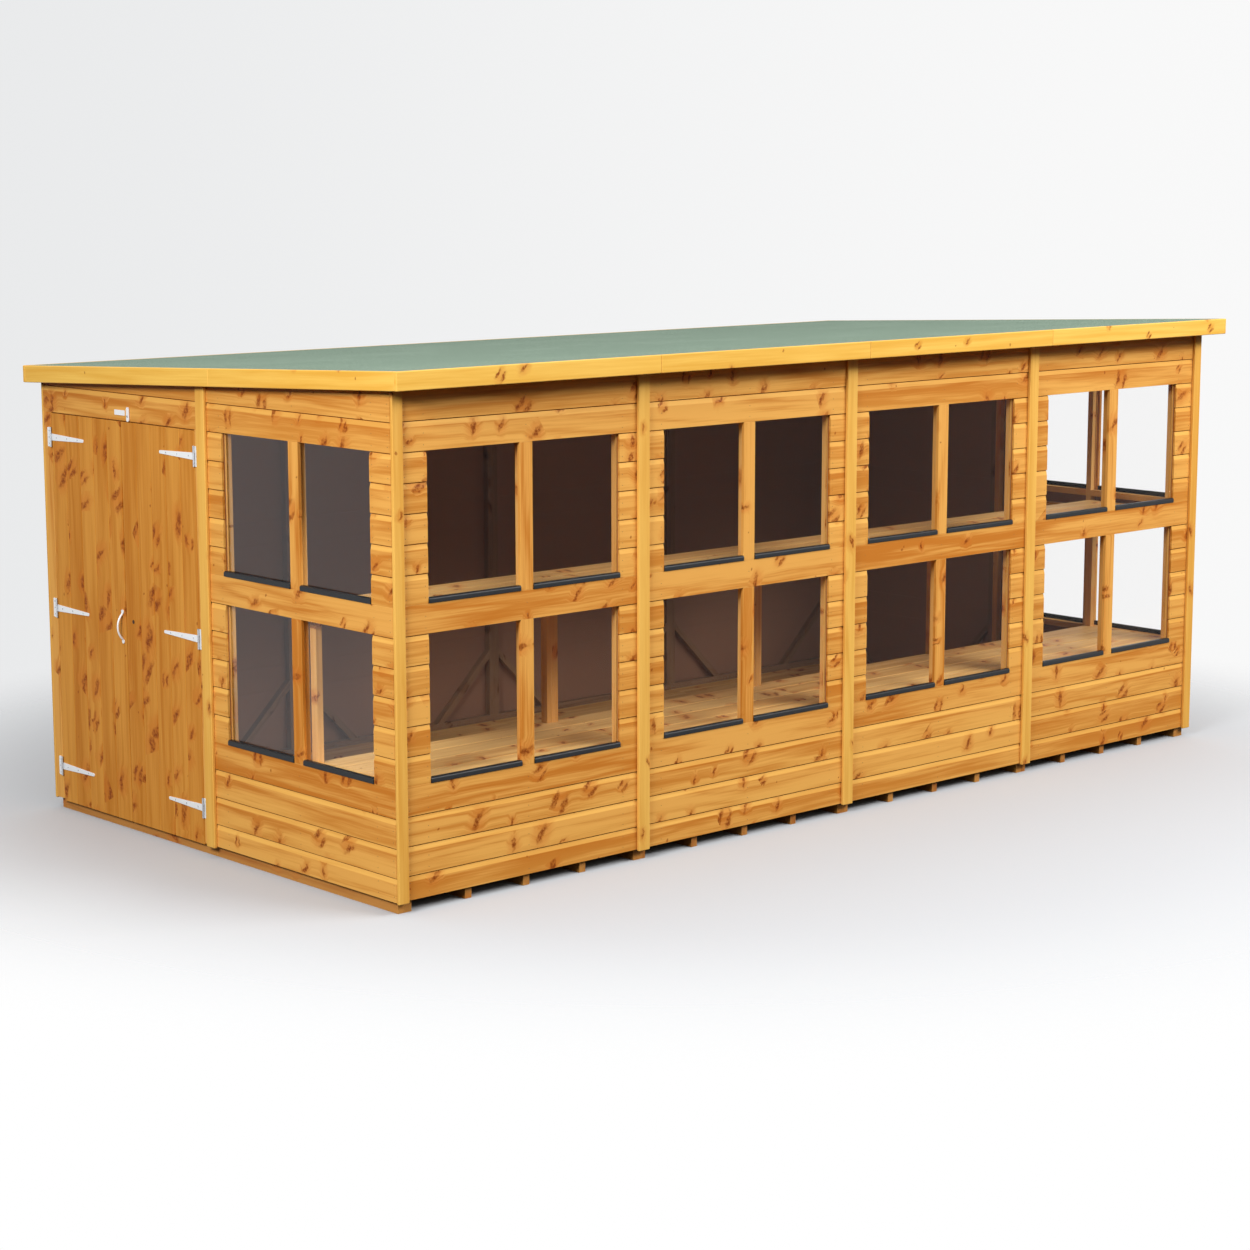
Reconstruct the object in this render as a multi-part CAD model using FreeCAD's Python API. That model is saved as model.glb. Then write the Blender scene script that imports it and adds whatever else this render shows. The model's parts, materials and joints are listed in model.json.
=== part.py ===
import FreeCAD, Part
import os

# A pent-roofed potting shed made of timber panels, in millimetres.
# X runs along the front from the door end, Y from the front to the back, Z up.
# The origin is on the ground, under the middle of the roof's outline.

# Walls in plan
FRONT_PANELS = 4
FRONT_PANEL = 1200.0
END_DEPTH = 2430.0
CLADDING = 15.0
FRAME = 35.0

# Heights of the roof's underside at the outer faces of the front and back walls
FRONT_HEIGHT = 2027.0
BACK_HEIGHT = 1921.0

# Boards of the cladding, counted in rows from the bottom
CLADDING_BOTTOM = 48.0
BOTTOM_BOARD = 95.0
BOARD = 114.0
COVE_HEIGHT = 24.0
COVE_DEPTH = 5.0
ROWS_UNDER_PANES = 4
PANE_ROWS = 5

# Frame timbers
STUD = 30.0
BRACE_REACH = 330.0
BRACE_WIDTH = 42.0

# Windows
PANE_OPENING = 448.0
MULLION = 64.0
GLASS = 3.0
GLASS_CLEARANCE = 1.0
BEAD = 5.0
SILL_HEIGHT = 21.0
SILL_PROUD = 4.0
SILL_BEVEL = 7.0

# Strips over the corners and the panel joints
STRIP_THICKNESS = 15.0
JOINT_STRIP = 60.0
STRIP_TOP_GAP = 15.0
STRIP_BOTTOM = 42.0

# Floor
JOIST_WIDTH = 32.0
JOIST_HEIGHT = 45.0
JOISTS_PER_PANEL = 5
FLOOR_BOARD = 12.0
FLOOR_ROWS = 20
FLOOR_CLEARANCE = 2.0

# Roof
OVERHANG_FRONT = 114.0
OVERHANG_BACK = 70.0
OVERHANG_END = 53.0
FASCIA_THICKNESS = 18.0
FASCIA_HEIGHT = 72.0
FASCIA_JOINT_SHIFT = 124.0
ROOF_SHEET = 12.0
FELT = 3.0
FELT_STRIPS = 3
RAFTER_WIDTH = 35.0
RAFTER_HEIGHT = 60.0

# Staging bench inside the front windows
BENCH_BACK = 588.0
UPPER_SHELF_TOP = 1121.0
LOWER_SHELF_TOP = 486.0
SHELF_BOARD = 18.0
SHELF_ROWS = 4
SHELF_GAP = 5.0
LEG_WIDTH = 30.0
LEG_DEPTH = 38.0
BEARER_HEIGHT = 45.0

# Doors
DOOR_POST = 60.0
POST_STOP = 15.0
DOOR_GAP = 3.0
LEAF = 14.0
LEAF_BOARDS = 5
LEAF_BOTTOM = 41.0
HEAD_GAP = 4.0
LEDGE = 20.0
LEDGE_HEIGHT = 90.0
LEDGE_END_GAP = 45.0
LEDGE_MEETING_GAP = 28.0
DOOR_BRACE = 80.0

# T hinges, at these heights
HINGE_HEIGHTS = (194.0, 892.0, 1632.0)
HINGE_PLATE_HEIGHT = 83.0
HINGE_PLATE_WIDTH = 30.0
HINGE_METAL = 2.0
KNUCKLE_RADIUS = 4.5
PIN_RADIUS = 2.5
PIN_CLEARANCE = 0.05
PIN_AXIS_PROUD = 5.0
PIN_HEAD_RADIUS = 3.6
PIN_HEAD = 1.5
STRAP_LENGTH = 250.0
STRAP_ROOT = 30.0
STRAP_TIP = 13.0
KNUCKLE_GAP = 0.5
SCREW_HEAD_RADIUS = 3.5
SCREW_HEAD = 1.2
STRAP_SCREWS = 3
PLATE_SCREW_PITCH = 28.0

# Pull handle, lock, bare plate and turn button
HANDLE_MIDDLE = 874.0
HANDLE_SPAN = 126.0
HANDLE_BOW = 34.0
HANDLE_BAR_RADIUS = 4.5
HANDLE_FOOT_RADIUS = 9.0
HANDLE_FOOT = 4.0
HANDLE_INSET = 22.0
KEYHOLE_HEIGHT = 903.0
KEYHOLE_INSET = 55.0
ESCUTCHEON_RADIUS = 8.0
ESCUTCHEON = 1.5
LOCK_CASE = (90.0, 16.0, 60.0)
LOCK_INSET = 8.0
KEEPER_WIDTH = 20.0
PLATE_WIDTH = 78.0
PLATE_HEIGHT = 22.0
PLATE_METAL = 2.0
PLATE_RISE = 33.0
BUTTON_OFFSET = 67.0
BUTTON_RISE = 21.0
BUTTON_SHORT_ARM = 22.0
BUTTON_LONG_ARM = 38.0
BUTTON_WIDTH = 18.0
BUTTON_THICKNESS = 5.0
BUTTON_COLLAR = 2.0
BUTTON_COLLAR_RADIUS = 6.0
BUTTON_SCREW_HEAD = 2.0
BUTTON_SCREW_HEAD_RADIUS = 5.0

# Sizes that follow from those above
WALL = CLADDING + FRAME
LENGTH = FRONT_PANELS * FRONT_PANEL + 2 * WALL
END_PANEL = END_DEPTH / 2
X_LEFT = -LENGTH / 2
X_RIGHT = LENGTH / 2
Y_FRONT = (OVERHANG_FRONT - OVERHANG_BACK - END_DEPTH) / 2
Y_BACK = Y_FRONT + END_DEPTH
FLOOR_TOP = JOIST_HEIGHT + FLOOR_BOARD
ROOF_FALL = (FRONT_HEIGHT - BACK_HEIGHT) / END_DEPTH
ROOF_BUILD_UP = ROOF_SHEET + FELT
LOWER_SILL_EDGE = ROWS_UNDER_PANES
LOWER_HEAD_EDGE = LOWER_SILL_EDGE + PANE_ROWS
UPPER_SILL_EDGE = LOWER_HEAD_EDGE + 1
UPPER_HEAD_EDGE = UPPER_SILL_EDGE + PANE_ROWS
LEG_FRONT = BENCH_BACK - LEG_DEPTH

UP = FreeCAD.Vector(0, 0, 1)


def row_edge(count):
    """Height of the lower edge of a board row, counted from 0 at the bottom."""
    if count == 0:
        return CLADDING_BOTTOM
    return CLADDING_BOTTOM + BOTTOM_BOARD + (count - 1) * BOARD


def roof_underside(y):
    """Height of the roof's underside at a depth."""
    return FRONT_HEIGHT - ROOF_FALL * (y - Y_FRONT)


def below_line(outline, top):
    """The part of a convex outline of (along, height) points that lies under a straight top line."""
    kept = []
    for here, after in zip(outline, outline[1:] + outline[:1]):
        spare_here = top(here[0]) - here[1]
        spare_after = top(after[0]) - after[1]
        if spare_here >= 0:
            kept.append(here)
        if spare_here * spare_after < 0:
            share = spare_here / (spare_here - spare_after)
            along = here[0] + share * (after[0] - here[0])
            kept.append((along, top(along)))
    return kept


def prism(points, direction):
    """A solid made by moving a flat outline of points along a direction."""
    face = Part.Face(Part.makePolygon(points + points[:1]))
    return face.extrude(direction)


class Wall:
    """A wall seen from outside: along runs to the right, depth runs inwards from the outer face."""

    def __init__(self, corner, along, inward, top):
        self.corner = FreeCAD.Vector(*corner)
        self.along = FreeCAD.Vector(*along)
        self.inward = FreeCAD.Vector(*inward)
        self.top = top

    def point(self, along, depth, height):
        return self.corner + self.along * along + self.inward * depth + UP * height

    def slab(self, outline, depth0, depth1):
        """A flat piece with an outline of (along, height) points."""
        points = [self.point(along, depth0, height) for along, height in outline]
        return prism(points, self.inward * (depth1 - depth0))

    def bar(self, profile, along0, along1):
        """A piece with a profile of (depth, height) points, running along the wall."""
        points = [self.point(along0, depth, height) for depth, height in profile]
        return prism(points, self.along * (along1 - along0))

    def block(self, along0, along1, depth0, depth1, height0, height1):
        corners = [(along0, height0), (along1, height0), (along1, height1), (along0, height1)]
        return self.slab(corners, depth0, depth1)

    def under_top(self, along0, along1, depth0, depth1, height0, below=0.0):
        """An upright piece from a height to a distance below the wall's top line."""
        end0 = self.top(along0) - below
        end1 = self.top(along1) - below
        corners = [(along0, height0), (along1, height0), (along1, end1), (along0, end0)]
        return self.slab(corners, depth0, depth1)

    def disc(self, along, height, radius, depth0, depth1):
        """A round piece whose axis runs through the wall."""
        start = self.point(along, depth0, height)
        return Part.makeCylinder(radius, depth1 - depth0, start, self.inward)

    def shiplap(self, along0, along1, height0, height1):
        """A board with a hollowed upper edge, drawn here as a straight bevel."""
        profile = [
            (0.0, height0),
            (0.0, height1 - COVE_HEIGHT),
            (COVE_DEPTH, height1),
            (CLADDING, height1),
            (CLADDING, height0),
        ]
        return self.bar(profile, along0, along1)

    def board_row(self, along0, along1, count, flat=False):
        """One row of cladding, cut to the wall's top line where it reaches it."""
        low = row_edge(count)
        high = row_edge(count + 1)
        if high > min(self.top(along0), self.top(along1)):
            corners = [(along0, low), (along1, low), (along1, high), (along0, high)]
            return self.slab(below_line(corners, self.top), 0.0, CLADDING)
        if flat:
            return self.block(along0, along1, 0.0, CLADDING, low, high)
        return self.shiplap(along0, along1, low, high)

    def rows_to_top(self, along0, along1, first):
        """Rows of cladding from a row up to the wall's top line."""
        boards = []
        count = first
        while row_edge(count) < max(self.top(along0), self.top(along1)):
            boards.append(self.board_row(along0, along1, count))
            count += 1
        return boards


def front_top(along):
    return roof_underside(Y_FRONT + WALL)


def back_top(along):
    return roof_underside(Y_BACK)


def left_top(along):
    return roof_underside(Y_BACK - along)


def right_top(along):
    return roof_underside(Y_FRONT + along)


FRONT = Wall((X_LEFT, Y_FRONT, 0), (1, 0, 0), (0, 1, 0), front_top)
BACK = Wall((X_RIGHT, Y_BACK, 0), (-1, 0, 0), (0, -1, 0), back_top)
LEFT = Wall((X_LEFT, Y_BACK, 0), (0, -1, 0), (1, 0, 0), left_top)
RIGHT = Wall((X_RIGHT, Y_FRONT, 0), (0, 1, 0), (-1, 0, 0), right_top)

# Where each panel starts and ends along its wall
FRONT_SPANS = [(WALL + k * FRONT_PANEL, WALL + (k + 1) * FRONT_PANEL) for k in range(FRONT_PANELS)]
LEFT_WINDOW_SPAN = (END_PANEL, END_DEPTH)
LEFT_DOOR_SPAN = (0.0, END_PANEL)
RIGHT_WINDOW_SPAN = (0.0, END_PANEL)
RIGHT_PLAIN_SPAN = (END_PANEL, END_DEPTH)

nodes = {}


def keep(name, solids):
    """Adds solids to a named node."""
    nodes.setdefault(name, []).extend(solids)


# Floor

def floor_spans():
    """The floor panels, which meet under the joints of the front panels."""
    inset = CLADDING + FLOOR_CLEARANCE
    joints = [X_LEFT + span[0] for span in FRONT_SPANS[1:]]
    edges = [X_LEFT + inset] + joints + [X_RIGHT - inset]
    return list(zip(edges, edges[1:]))


def joists():
    """Joists in two lengths: five under each front panel, and one more under each end wall."""
    inset = CLADDING + FLOOR_CLEARANCE
    length = END_PANEL - inset
    step = (FRONT_PANEL - JOIST_WIDTH) / (JOISTS_PER_PANEL - 1)
    places = [X_LEFT + WALL - JOIST_WIDTH, X_RIGHT - WALL]
    for span in FRONT_SPANS:
        places += [X_LEFT + span[0] + k * step for k in range(JOISTS_PER_PANEL)]
    solids = []
    for x in sorted(places):
        for y in (Y_FRONT + inset, Y_FRONT + END_PANEL):
            corner = FreeCAD.Vector(x, y, 0)
            solids.append(Part.makeBox(JOIST_WIDTH, length, JOIST_HEIGHT, corner))
    return solids


def floor_boards():
    inset = CLADDING + FLOOR_CLEARANCE
    width = (END_DEPTH - 2 * inset) / FLOOR_ROWS
    solids = []
    for start, end in floor_spans():
        for k in range(FLOOR_ROWS):
            corner = FreeCAD.Vector(start, Y_FRONT + inset + k * width, JOIST_HEIGHT)
            solids.append(Part.makeBox(end - start, width, FLOOR_BOARD, corner))
    return solids


# Panels

def pane_openings(span):
    """The two openings of a window panel along the wall, each side of its mullion."""
    middle = (span[0] + span[1]) / 2
    inner = MULLION / 2
    left_opening = (middle - inner - PANE_OPENING, middle - inner)
    right_opening = (middle + inner, middle + inner + PANE_OPENING)
    return [left_opening, right_opening]


def pane_heights():
    """The lower and the upper tier of panes."""
    lower = (row_edge(LOWER_SILL_EDGE), row_edge(LOWER_HEAD_EDGE))
    upper = (row_edge(UPPER_SILL_EDGE), row_edge(UPPER_HEAD_EDGE))
    return [lower, upper]


def window_cladding(wall, span):
    openings = pane_openings(span)
    left_edge = openings[0][0]
    right_edge = openings[1][1]
    middle = (span[0] + span[1]) / 2
    solids = []
    for count in range(ROWS_UNDER_PANES):
        solids.append(wall.board_row(*span, count, flat=count == ROWS_UNDER_PANES - 1))
    for first in (LOWER_SILL_EDGE, UPPER_SILL_EDGE):
        for count in range(first, first + PANE_ROWS):
            solids.append(wall.board_row(span[0], left_edge, count))
            solids.append(wall.board_row(right_edge, span[1], count))
    for low, high in pane_heights():
        solids.append(wall.block(middle - MULLION / 2, middle + MULLION / 2, 0.0, CLADDING, low, high))
    solids.append(wall.board_row(*span, LOWER_HEAD_EDGE, flat=True))
    return solids + wall.rows_to_top(*span, UPPER_HEAD_EDGE)


def window_frame(wall, span):
    openings = pane_openings(span)
    left_edge = openings[0][0]
    right_edge = openings[1][1]
    middle = (span[0] + span[1]) / 2
    uprights = [
        (span[0], span[0] + STUD),
        (left_edge - STUD, left_edge),
        (middle - STUD / 2, middle + STUD / 2),
        (right_edge, right_edge + STUD),
        (span[1] - STUD, span[1]),
    ]
    bays = [(left_edge, middle - STUD / 2), (middle + STUD / 2, right_edge)]
    solids = end_rails(wall, span)
    for along0, along1 in uprights:
        solids.append(wall.under_top(along0, along1, CLADDING, WALL, FLOOR_TOP + STUD, STUD))
    for low, high in pane_heights():
        for along0, along1 in bays:
            solids.append(wall.block(along0, along1, CLADDING, WALL, low - STUD, low))
            solids.append(wall.block(along0, along1, CLADDING, WALL, high, high + STUD))
    return solids


def end_rails(wall, span):
    """The bottom rail on the floor and the top rail under the roof."""
    bottom = wall.block(*span, CLADDING, WALL, FLOOR_TOP, FLOOR_TOP + STUD)
    high0 = wall.top(span[0])
    high1 = wall.top(span[1])
    corners = [(span[0], high0 - STUD), (span[1], high1 - STUD), (span[1], high1), (span[0], high0)]
    return [bottom, wall.slab(corners, CLADDING, WALL)]


def plain_cladding(wall, span):
    return wall.rows_to_top(*span, 0)


def plain_frame(wall, span):
    """A stud at each end, the rails, and a brace across each lower corner."""
    rail_top = FLOOR_TOP + STUD
    left_stud = (span[0], span[0] + STUD)
    right_stud = (span[1] - STUD, span[1])
    solids = end_rails(wall, span)
    for along0, along1 in (left_stud, right_stud):
        solids.append(wall.under_top(along0, along1, CLADDING, WALL, rail_top, STUD))
    for foot, side in ((left_stud[1], 1), (right_stud[0], -1)):
        brace = [
            (foot + side * (BRACE_REACH - BRACE_WIDTH), rail_top),
            (foot + side * BRACE_REACH, rail_top),
            (foot, rail_top + BRACE_REACH),
            (foot, rail_top + BRACE_REACH - BRACE_WIDTH),
        ]
        solids.append(wall.slab(brace, CLADDING, WALL))
    return solids


# Window panes

def panes_of(wall, span):
    """Glass, beads and sill strips of one window panel."""
    middle = (span[0] + span[1]) / 2
    openings = pane_openings(span)
    seats = [(openings[0][0], middle - STUD / 2), (middle + STUD / 2, openings[1][1])]
    glass_front = CLADDING + GLASS_CLEARANCE
    glass_back = glass_front + GLASS
    glass = []
    beads = []
    sills = []
    for low, high in pane_heights():
        for opening, seat in zip(openings, seats):
            along0 = seat[0] + GLASS_CLEARANCE
            along1 = seat[1] - GLASS_CLEARANCE
            glass.append(wall.block(along0, along1, glass_front, glass_back, low, high - GLASS_CLEARANCE))
            for bead in ((seat[0], seat[0] + BEAD), (seat[1] - BEAD, seat[1])):
                beads.append(wall.block(*bead, glass_back, glass_back + BEAD, low, high))
            profile = [
                (-SILL_PROUD, low),
                (-SILL_PROUD, low + SILL_HEIGHT - SILL_BEVEL),
                (SILL_BEVEL - SILL_PROUD, low + SILL_HEIGHT),
                (glass_front, low + SILL_HEIGHT),
                (glass_front, low),
            ]
            sills.append(wall.bar(profile, *opening))
    return glass, beads, sills


# Strips

def cover_strip(wall, along0, along1):
    """An upright strip on the outer face, which ends a little below the roof."""
    return wall.under_top(along0, along1, -STRIP_THICKNESS, 0.0, STRIP_BOTTOM, STRIP_TOP_GAP)


def corner_strips():
    """Upright strips on the front and back faces that cover the edges of the end walls."""
    solids = []
    for wall in (FRONT, BACK):
        for along0 in (0.0, LENGTH - WALL):
            solids.append(cover_strip(wall, along0, along0 + WALL))
    return solids


def joint_strips():
    """Upright strips over the joints between panels."""
    joints = [(FRONT, span[0]) for span in FRONT_SPANS[1:]]
    joints += [(BACK, span[0]) for span in FRONT_SPANS[1:]]
    joints += [(LEFT, END_PANEL), (RIGHT, END_PANEL)]
    half = JOINT_STRIP / 2
    solids = []
    for wall, along in joints:
        solids.append(cover_strip(wall, along - half, along + half))
    return solids


# Door panel in the left wall

def door_opening():
    return (LEFT_DOOR_SPAN[0] + DOOR_POST, LEFT_DOOR_SPAN[1] - DOOR_POST)


def door_panel_cladding():
    """Post boards at the sides, and the boards over the doors."""
    head = row_edge(UPPER_HEAD_EDGE)
    opening = door_opening()
    solids = [
        LEFT.block(LEFT_DOOR_SPAN[0], opening[0], 0.0, CLADDING, CLADDING_BOTTOM, head),
        LEFT.block(opening[1], LEFT_DOOR_SPAN[1], 0.0, CLADDING, CLADDING_BOTTOM, head),
    ]
    return solids + LEFT.rows_to_top(*LEFT_DOOR_SPAN, UPPER_HEAD_EDGE)


def door_panel_frame():
    """Posts that the leaves close against, the head rail and the sloping top rail."""
    head = row_edge(UPPER_HEAD_EDGE)
    post = DOOR_POST + POST_STOP
    start, end = LEFT_DOOR_SPAN
    middle = (start + end) / 2
    high0 = LEFT.top(start)
    high1 = LEFT.top(end)
    top_rail = [(start, high0 - STUD), (end, high1 - STUD), (end, high1), (start, high0)]
    return [
        LEFT.under_top(start, start + post, CLADDING, WALL, FLOOR_TOP, STUD),
        LEFT.under_top(end - post, end, CLADDING, WALL, FLOOR_TOP, STUD),
        LEFT.block(start + post, end - post, CLADDING, WALL, head - POST_STOP, head + STUD),
        LEFT.under_top(middle - STUD / 2, middle + STUD / 2, CLADDING, WALL, head + STUD, STUD),
        LEFT.slab(top_rail, CLADDING, WALL),
    ]


def hinge_screw(along, height):
    """A screw head on the face of a hinge."""
    return LEFT.disc(along, height, SCREW_HEAD_RADIUS, -HINGE_METAL - SCREW_HEAD, -HINGE_METAL)


class Leaf:
    """A door leaf. Side is 1 where the hinges are on the left seen from outside, and -1 on the right."""

    def __init__(self, side):
        opening = door_opening()
        middle = (opening[0] + opening[1]) / 2
        self.side = side
        self.post_edge = opening[0] if side == 1 else opening[1]
        self.hinge_edge = self.post_edge + side * DOOR_GAP
        self.meeting_edge = middle - side * DOOR_GAP / 2
        self.axis = self.post_edge + side * DOOR_GAP / 2
        self.top = row_edge(UPPER_HEAD_EDGE) - HEAD_GAP

    def span(self, near, far):
        """Two places, measured from the hinge edge, in rising order along the wall."""
        return sorted((self.hinge_edge + self.side * near, self.hinge_edge + self.side * far))

    def width(self):
        return abs(self.meeting_edge - self.hinge_edge)

    def boards(self):
        step = self.width() / LEAF_BOARDS
        solids = []
        for k in range(LEAF_BOARDS):
            place = self.span(k * step, (k + 1) * step)
            solids.append(LEFT.block(*place, 0.0, LEAF, LEAF_BOTTOM, self.top))
        return solids

    def ledges(self):
        near = LEDGE_END_GAP
        far = self.width() - LEDGE_MEETING_GAP
        back = LEAF + LEDGE
        half = LEDGE_HEIGHT / 2
        solids = []
        for height in HINGE_HEIGHTS:
            solids.append(LEFT.block(*self.span(near, far), LEAF, back, height - half, height + half))
        for low, high in zip(HINGE_HEIGHTS, HINGE_HEIGHTS[1:]):
            brace = [
                (self.hinge_edge + self.side * near, low + half),
                (self.hinge_edge + self.side * (near + DOOR_BRACE), low + half),
                (self.hinge_edge + self.side * far, high - half),
                (self.hinge_edge + self.side * (far - DOOR_BRACE), high - half),
            ]
            solids.append(LEFT.slab(brace, LEAF, back))
        return solids

    def knuckle(self, low, high):
        """A hollow barrel round the hinge pin."""
        start = LEFT.point(self.axis, -PIN_AXIS_PROUD, low)
        outer = Part.makeCylinder(KNUCKLE_RADIUS, high - low, start, UP)
        bore = Part.makeCylinder(PIN_RADIUS + PIN_CLEARANCE, high - low, start, UP)
        return outer, bore

    def straps(self):
        solids = []
        for height in HINGE_HEIGHTS:
            root = STRAP_ROOT / 2
            tip = STRAP_TIP / 2
            end = self.axis + self.side * STRAP_LENGTH
            corner = end + self.side * tip
            outline = [
                (self.axis, height - root),
                (end, height - tip),
                (corner, height - tip / 2),
                (corner, height + tip / 2),
                (end, height + tip),
                (self.axis, height + root),
            ]
            flap = LEFT.slab(outline, -HINGE_METAL, 0.0)
            outer, bore = self.knuckle(height - root, height + root)
            solids.append(flap.fuse(outer).cut(bore).removeSplitter().Solids[0])
        return solids

    def plates(self):
        solids = []
        for height in HINGE_HEIGHTS:
            half = HINGE_PLATE_HEIGHT / 2
            inner = STRAP_ROOT / 2 + KNUCKLE_GAP
            far = self.post_edge - self.side * HINGE_PLATE_WIDTH
            edge = self.post_edge - self.side * DOOR_GAP
            plate = LEFT.block(*sorted((far, edge)), -HINGE_METAL, 0.0, height - half, height + half)
            for low, high in ((height - half, height - inner), (height + inner, height + half)):
                tab = LEFT.block(*sorted((edge, self.axis)), -HINGE_METAL, 0.0, low, high)
                outer, bore = self.knuckle(low, high)
                plate = plate.fuse(tab.fuse(outer).cut(bore))
            solids.append(plate.removeSplitter().Solids[0])
        return solids

    def pins(self):
        solids = []
        for height in HINGE_HEIGHTS:
            half = HINGE_PLATE_HEIGHT / 2
            foot = LEFT.point(self.axis, -PIN_AXIS_PROUD, height - half)
            head = LEFT.point(self.axis, -PIN_AXIS_PROUD, height + half)
            shank = Part.makeCylinder(PIN_RADIUS, HINGE_PLATE_HEIGHT, foot, UP)
            cap = Part.makeCylinder(PIN_HEAD_RADIUS, PIN_HEAD, head, UP)
            solids.append(shank.fuse(cap).removeSplitter().Solids[0])
        return solids

    def strap_screws(self):
        step = STRAP_LENGTH / STRAP_SCREWS
        solids = []
        for height in HINGE_HEIGHTS:
            for k in range(STRAP_SCREWS):
                solids.append(hinge_screw(self.axis + self.side * (k + 0.5) * step, height))
        return solids

    def plate_screws(self):
        along = self.post_edge - self.side * HINGE_PLATE_WIDTH / 2
        solids = []
        for height in HINGE_HEIGHTS:
            for rise in (-PLATE_SCREW_PITCH, 0.0, PLATE_SCREW_PITCH):
                solids.append(hinge_screw(along, height + rise))
        return solids


def pull_handle(leaf):
    """A bow of round bar between two feet on the leaf's face."""
    along = leaf.meeting_edge - leaf.side * HANDLE_INSET
    low = HANDLE_MIDDLE - HANDLE_SPAN / 2
    high = HANDLE_MIDDLE + HANDLE_SPAN / 2
    start = LEFT.point(along, -HANDLE_FOOT, low)
    peak = LEFT.point(along, -HANDLE_FOOT - HANDLE_BOW, HANDLE_MIDDLE)
    end = LEFT.point(along, -HANDLE_FOOT, high)
    arc = Part.Arc(start, peak, end).toShape()
    direction = arc.tangentAt(arc.FirstParameter)
    section = Part.Wire([Part.makeCircle(HANDLE_BAR_RADIUS, start, direction)])
    bow = Part.Wire([arc]).makePipeShell([section], True, False)
    feet = [LEFT.disc(along, height, HANDLE_FOOT_RADIUS, -HANDLE_FOOT, 0.0) for height in (low, high)]
    reach = HANDLE_SPAN + HANDLE_BOW
    sides = (along - reach, along + reach)
    inside = LEFT.block(*sides, -HANDLE_FOOT / 2, reach, low - reach, high + reach)
    return [bow.cut(inside).fuse(feet).removeSplitter().Solids[0]]


def door_lock(leaf):
    """Lock case on the middle ledge and the keyhole's plate outside."""
    back = LEAF + LEDGE
    width, depth, height = LOCK_CASE
    near = leaf.meeting_edge - leaf.side * LOCK_INSET
    far = near - leaf.side * width
    middle = HINGE_HEIGHTS[1]
    along = leaf.meeting_edge - leaf.side * KEYHOLE_INSET
    case = LEFT.block(*sorted((near, far)), back, back + depth, middle - height / 2, middle + height / 2)
    plate = LEFT.disc(along, KEYHOLE_HEIGHT, ESCUTCHEON_RADIUS, -ESCUTCHEON, 0.0)
    return [case, plate]


def lock_keeper(leaf):
    back = LEAF + LEDGE
    depth = LOCK_CASE[1]
    height = LOCK_CASE[2]
    near = leaf.meeting_edge - leaf.side * LEDGE_MEETING_GAP
    far = near - leaf.side * KEEPER_WIDTH
    middle = HINGE_HEIGHTS[1]
    return [LEFT.block(*sorted((near, far)), back, back + depth, middle - height / 2, middle + height / 2)]


# Bare plate and turn button on the door head

def door_middle():
    return sum(door_opening()) / 2


def bare_plate():
    low = row_edge(UPPER_HEAD_EDGE) + PLATE_RISE - PLATE_HEIGHT / 2
    start = door_middle() - PLATE_WIDTH / 2
    return [LEFT.block(start, start + PLATE_WIDTH, -PLATE_METAL, 0.0, low, low + PLATE_HEIGHT)]


def button_place():
    return door_middle() + BUTTON_OFFSET, row_edge(UPPER_HEAD_EDGE) + BUTTON_RISE


def turn_button():
    """A bar with round ends and unequal arms, at rest with the short arm down, clear of the leaves."""
    along, height = button_place()
    radius = BUTTON_WIDTH / 2
    face = -BUTTON_COLLAR - PIN_CLEARANCE
    front = face - BUTTON_THICKNESS
    low = height - BUTTON_SHORT_ARM + radius
    high = height + BUTTON_LONG_ARM - radius
    bar = LEFT.block(along - radius, along + radius, front, face, low, high)
    for end in (low, high):
        bar = bar.fuse(LEFT.disc(along, end, radius, front, face))
    bore = LEFT.disc(along, height, PIN_RADIUS + PIN_CLEARANCE, front, face)
    return [bar.cut(bore).removeSplitter().Solids[0]]


def turn_button_screw():
    """Collar against the head board, shank through the button and head outside it."""
    along, height = button_place()
    shank_end = -BUTTON_COLLAR - BUTTON_THICKNESS - 2 * PIN_CLEARANCE
    collar = LEFT.disc(along, height, BUTTON_COLLAR_RADIUS, -BUTTON_COLLAR, 0.0)
    shank = LEFT.disc(along, height, PIN_RADIUS, shank_end, -BUTTON_COLLAR)
    head = LEFT.disc(along, height, BUTTON_SCREW_HEAD_RADIUS, shank_end - BUTTON_SCREW_HEAD, shank_end)
    return [collar.fuse([shank, head]).removeSplitter().Solids[0]]


# Roof

def roof_slice(y0, y1, low, high, x0, x1):
    """A sloping layer of the roof, between two heights above the roof's underside."""
    points = [
        FreeCAD.Vector(x0, y0, roof_underside(y0) + low),
        FreeCAD.Vector(x0, y1, roof_underside(y1) + low),
        FreeCAD.Vector(x0, y1, roof_underside(y1) + high),
        FreeCAD.Vector(x0, y0, roof_underside(y0) + high),
    ]
    return prism(points, FreeCAD.Vector(x1 - x0, 0, 0))


ROOF_FRONT = Y_FRONT - OVERHANG_FRONT
ROOF_BACK = Y_BACK + OVERHANG_BACK
ROOF_LEFT = X_LEFT - OVERHANG_END
ROOF_RIGHT = X_RIGHT + OVERHANG_END
SHEET_FRONT = ROOF_FRONT + FASCIA_THICKNESS
SHEET_BACK = ROOF_BACK - FASCIA_THICKNESS
SHEET_LEFT = ROOF_LEFT + FASCIA_THICKNESS
SHEET_RIGHT = ROOF_RIGHT - FASCIA_THICKNESS


def length_cuts(start, end):
    """Lengths along the shed, cut over the panel joints."""
    places = [start] + [X_LEFT + span[0] for span in FRONT_SPANS[1:]] + [end]
    return list(zip(places, places[1:]))


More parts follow.
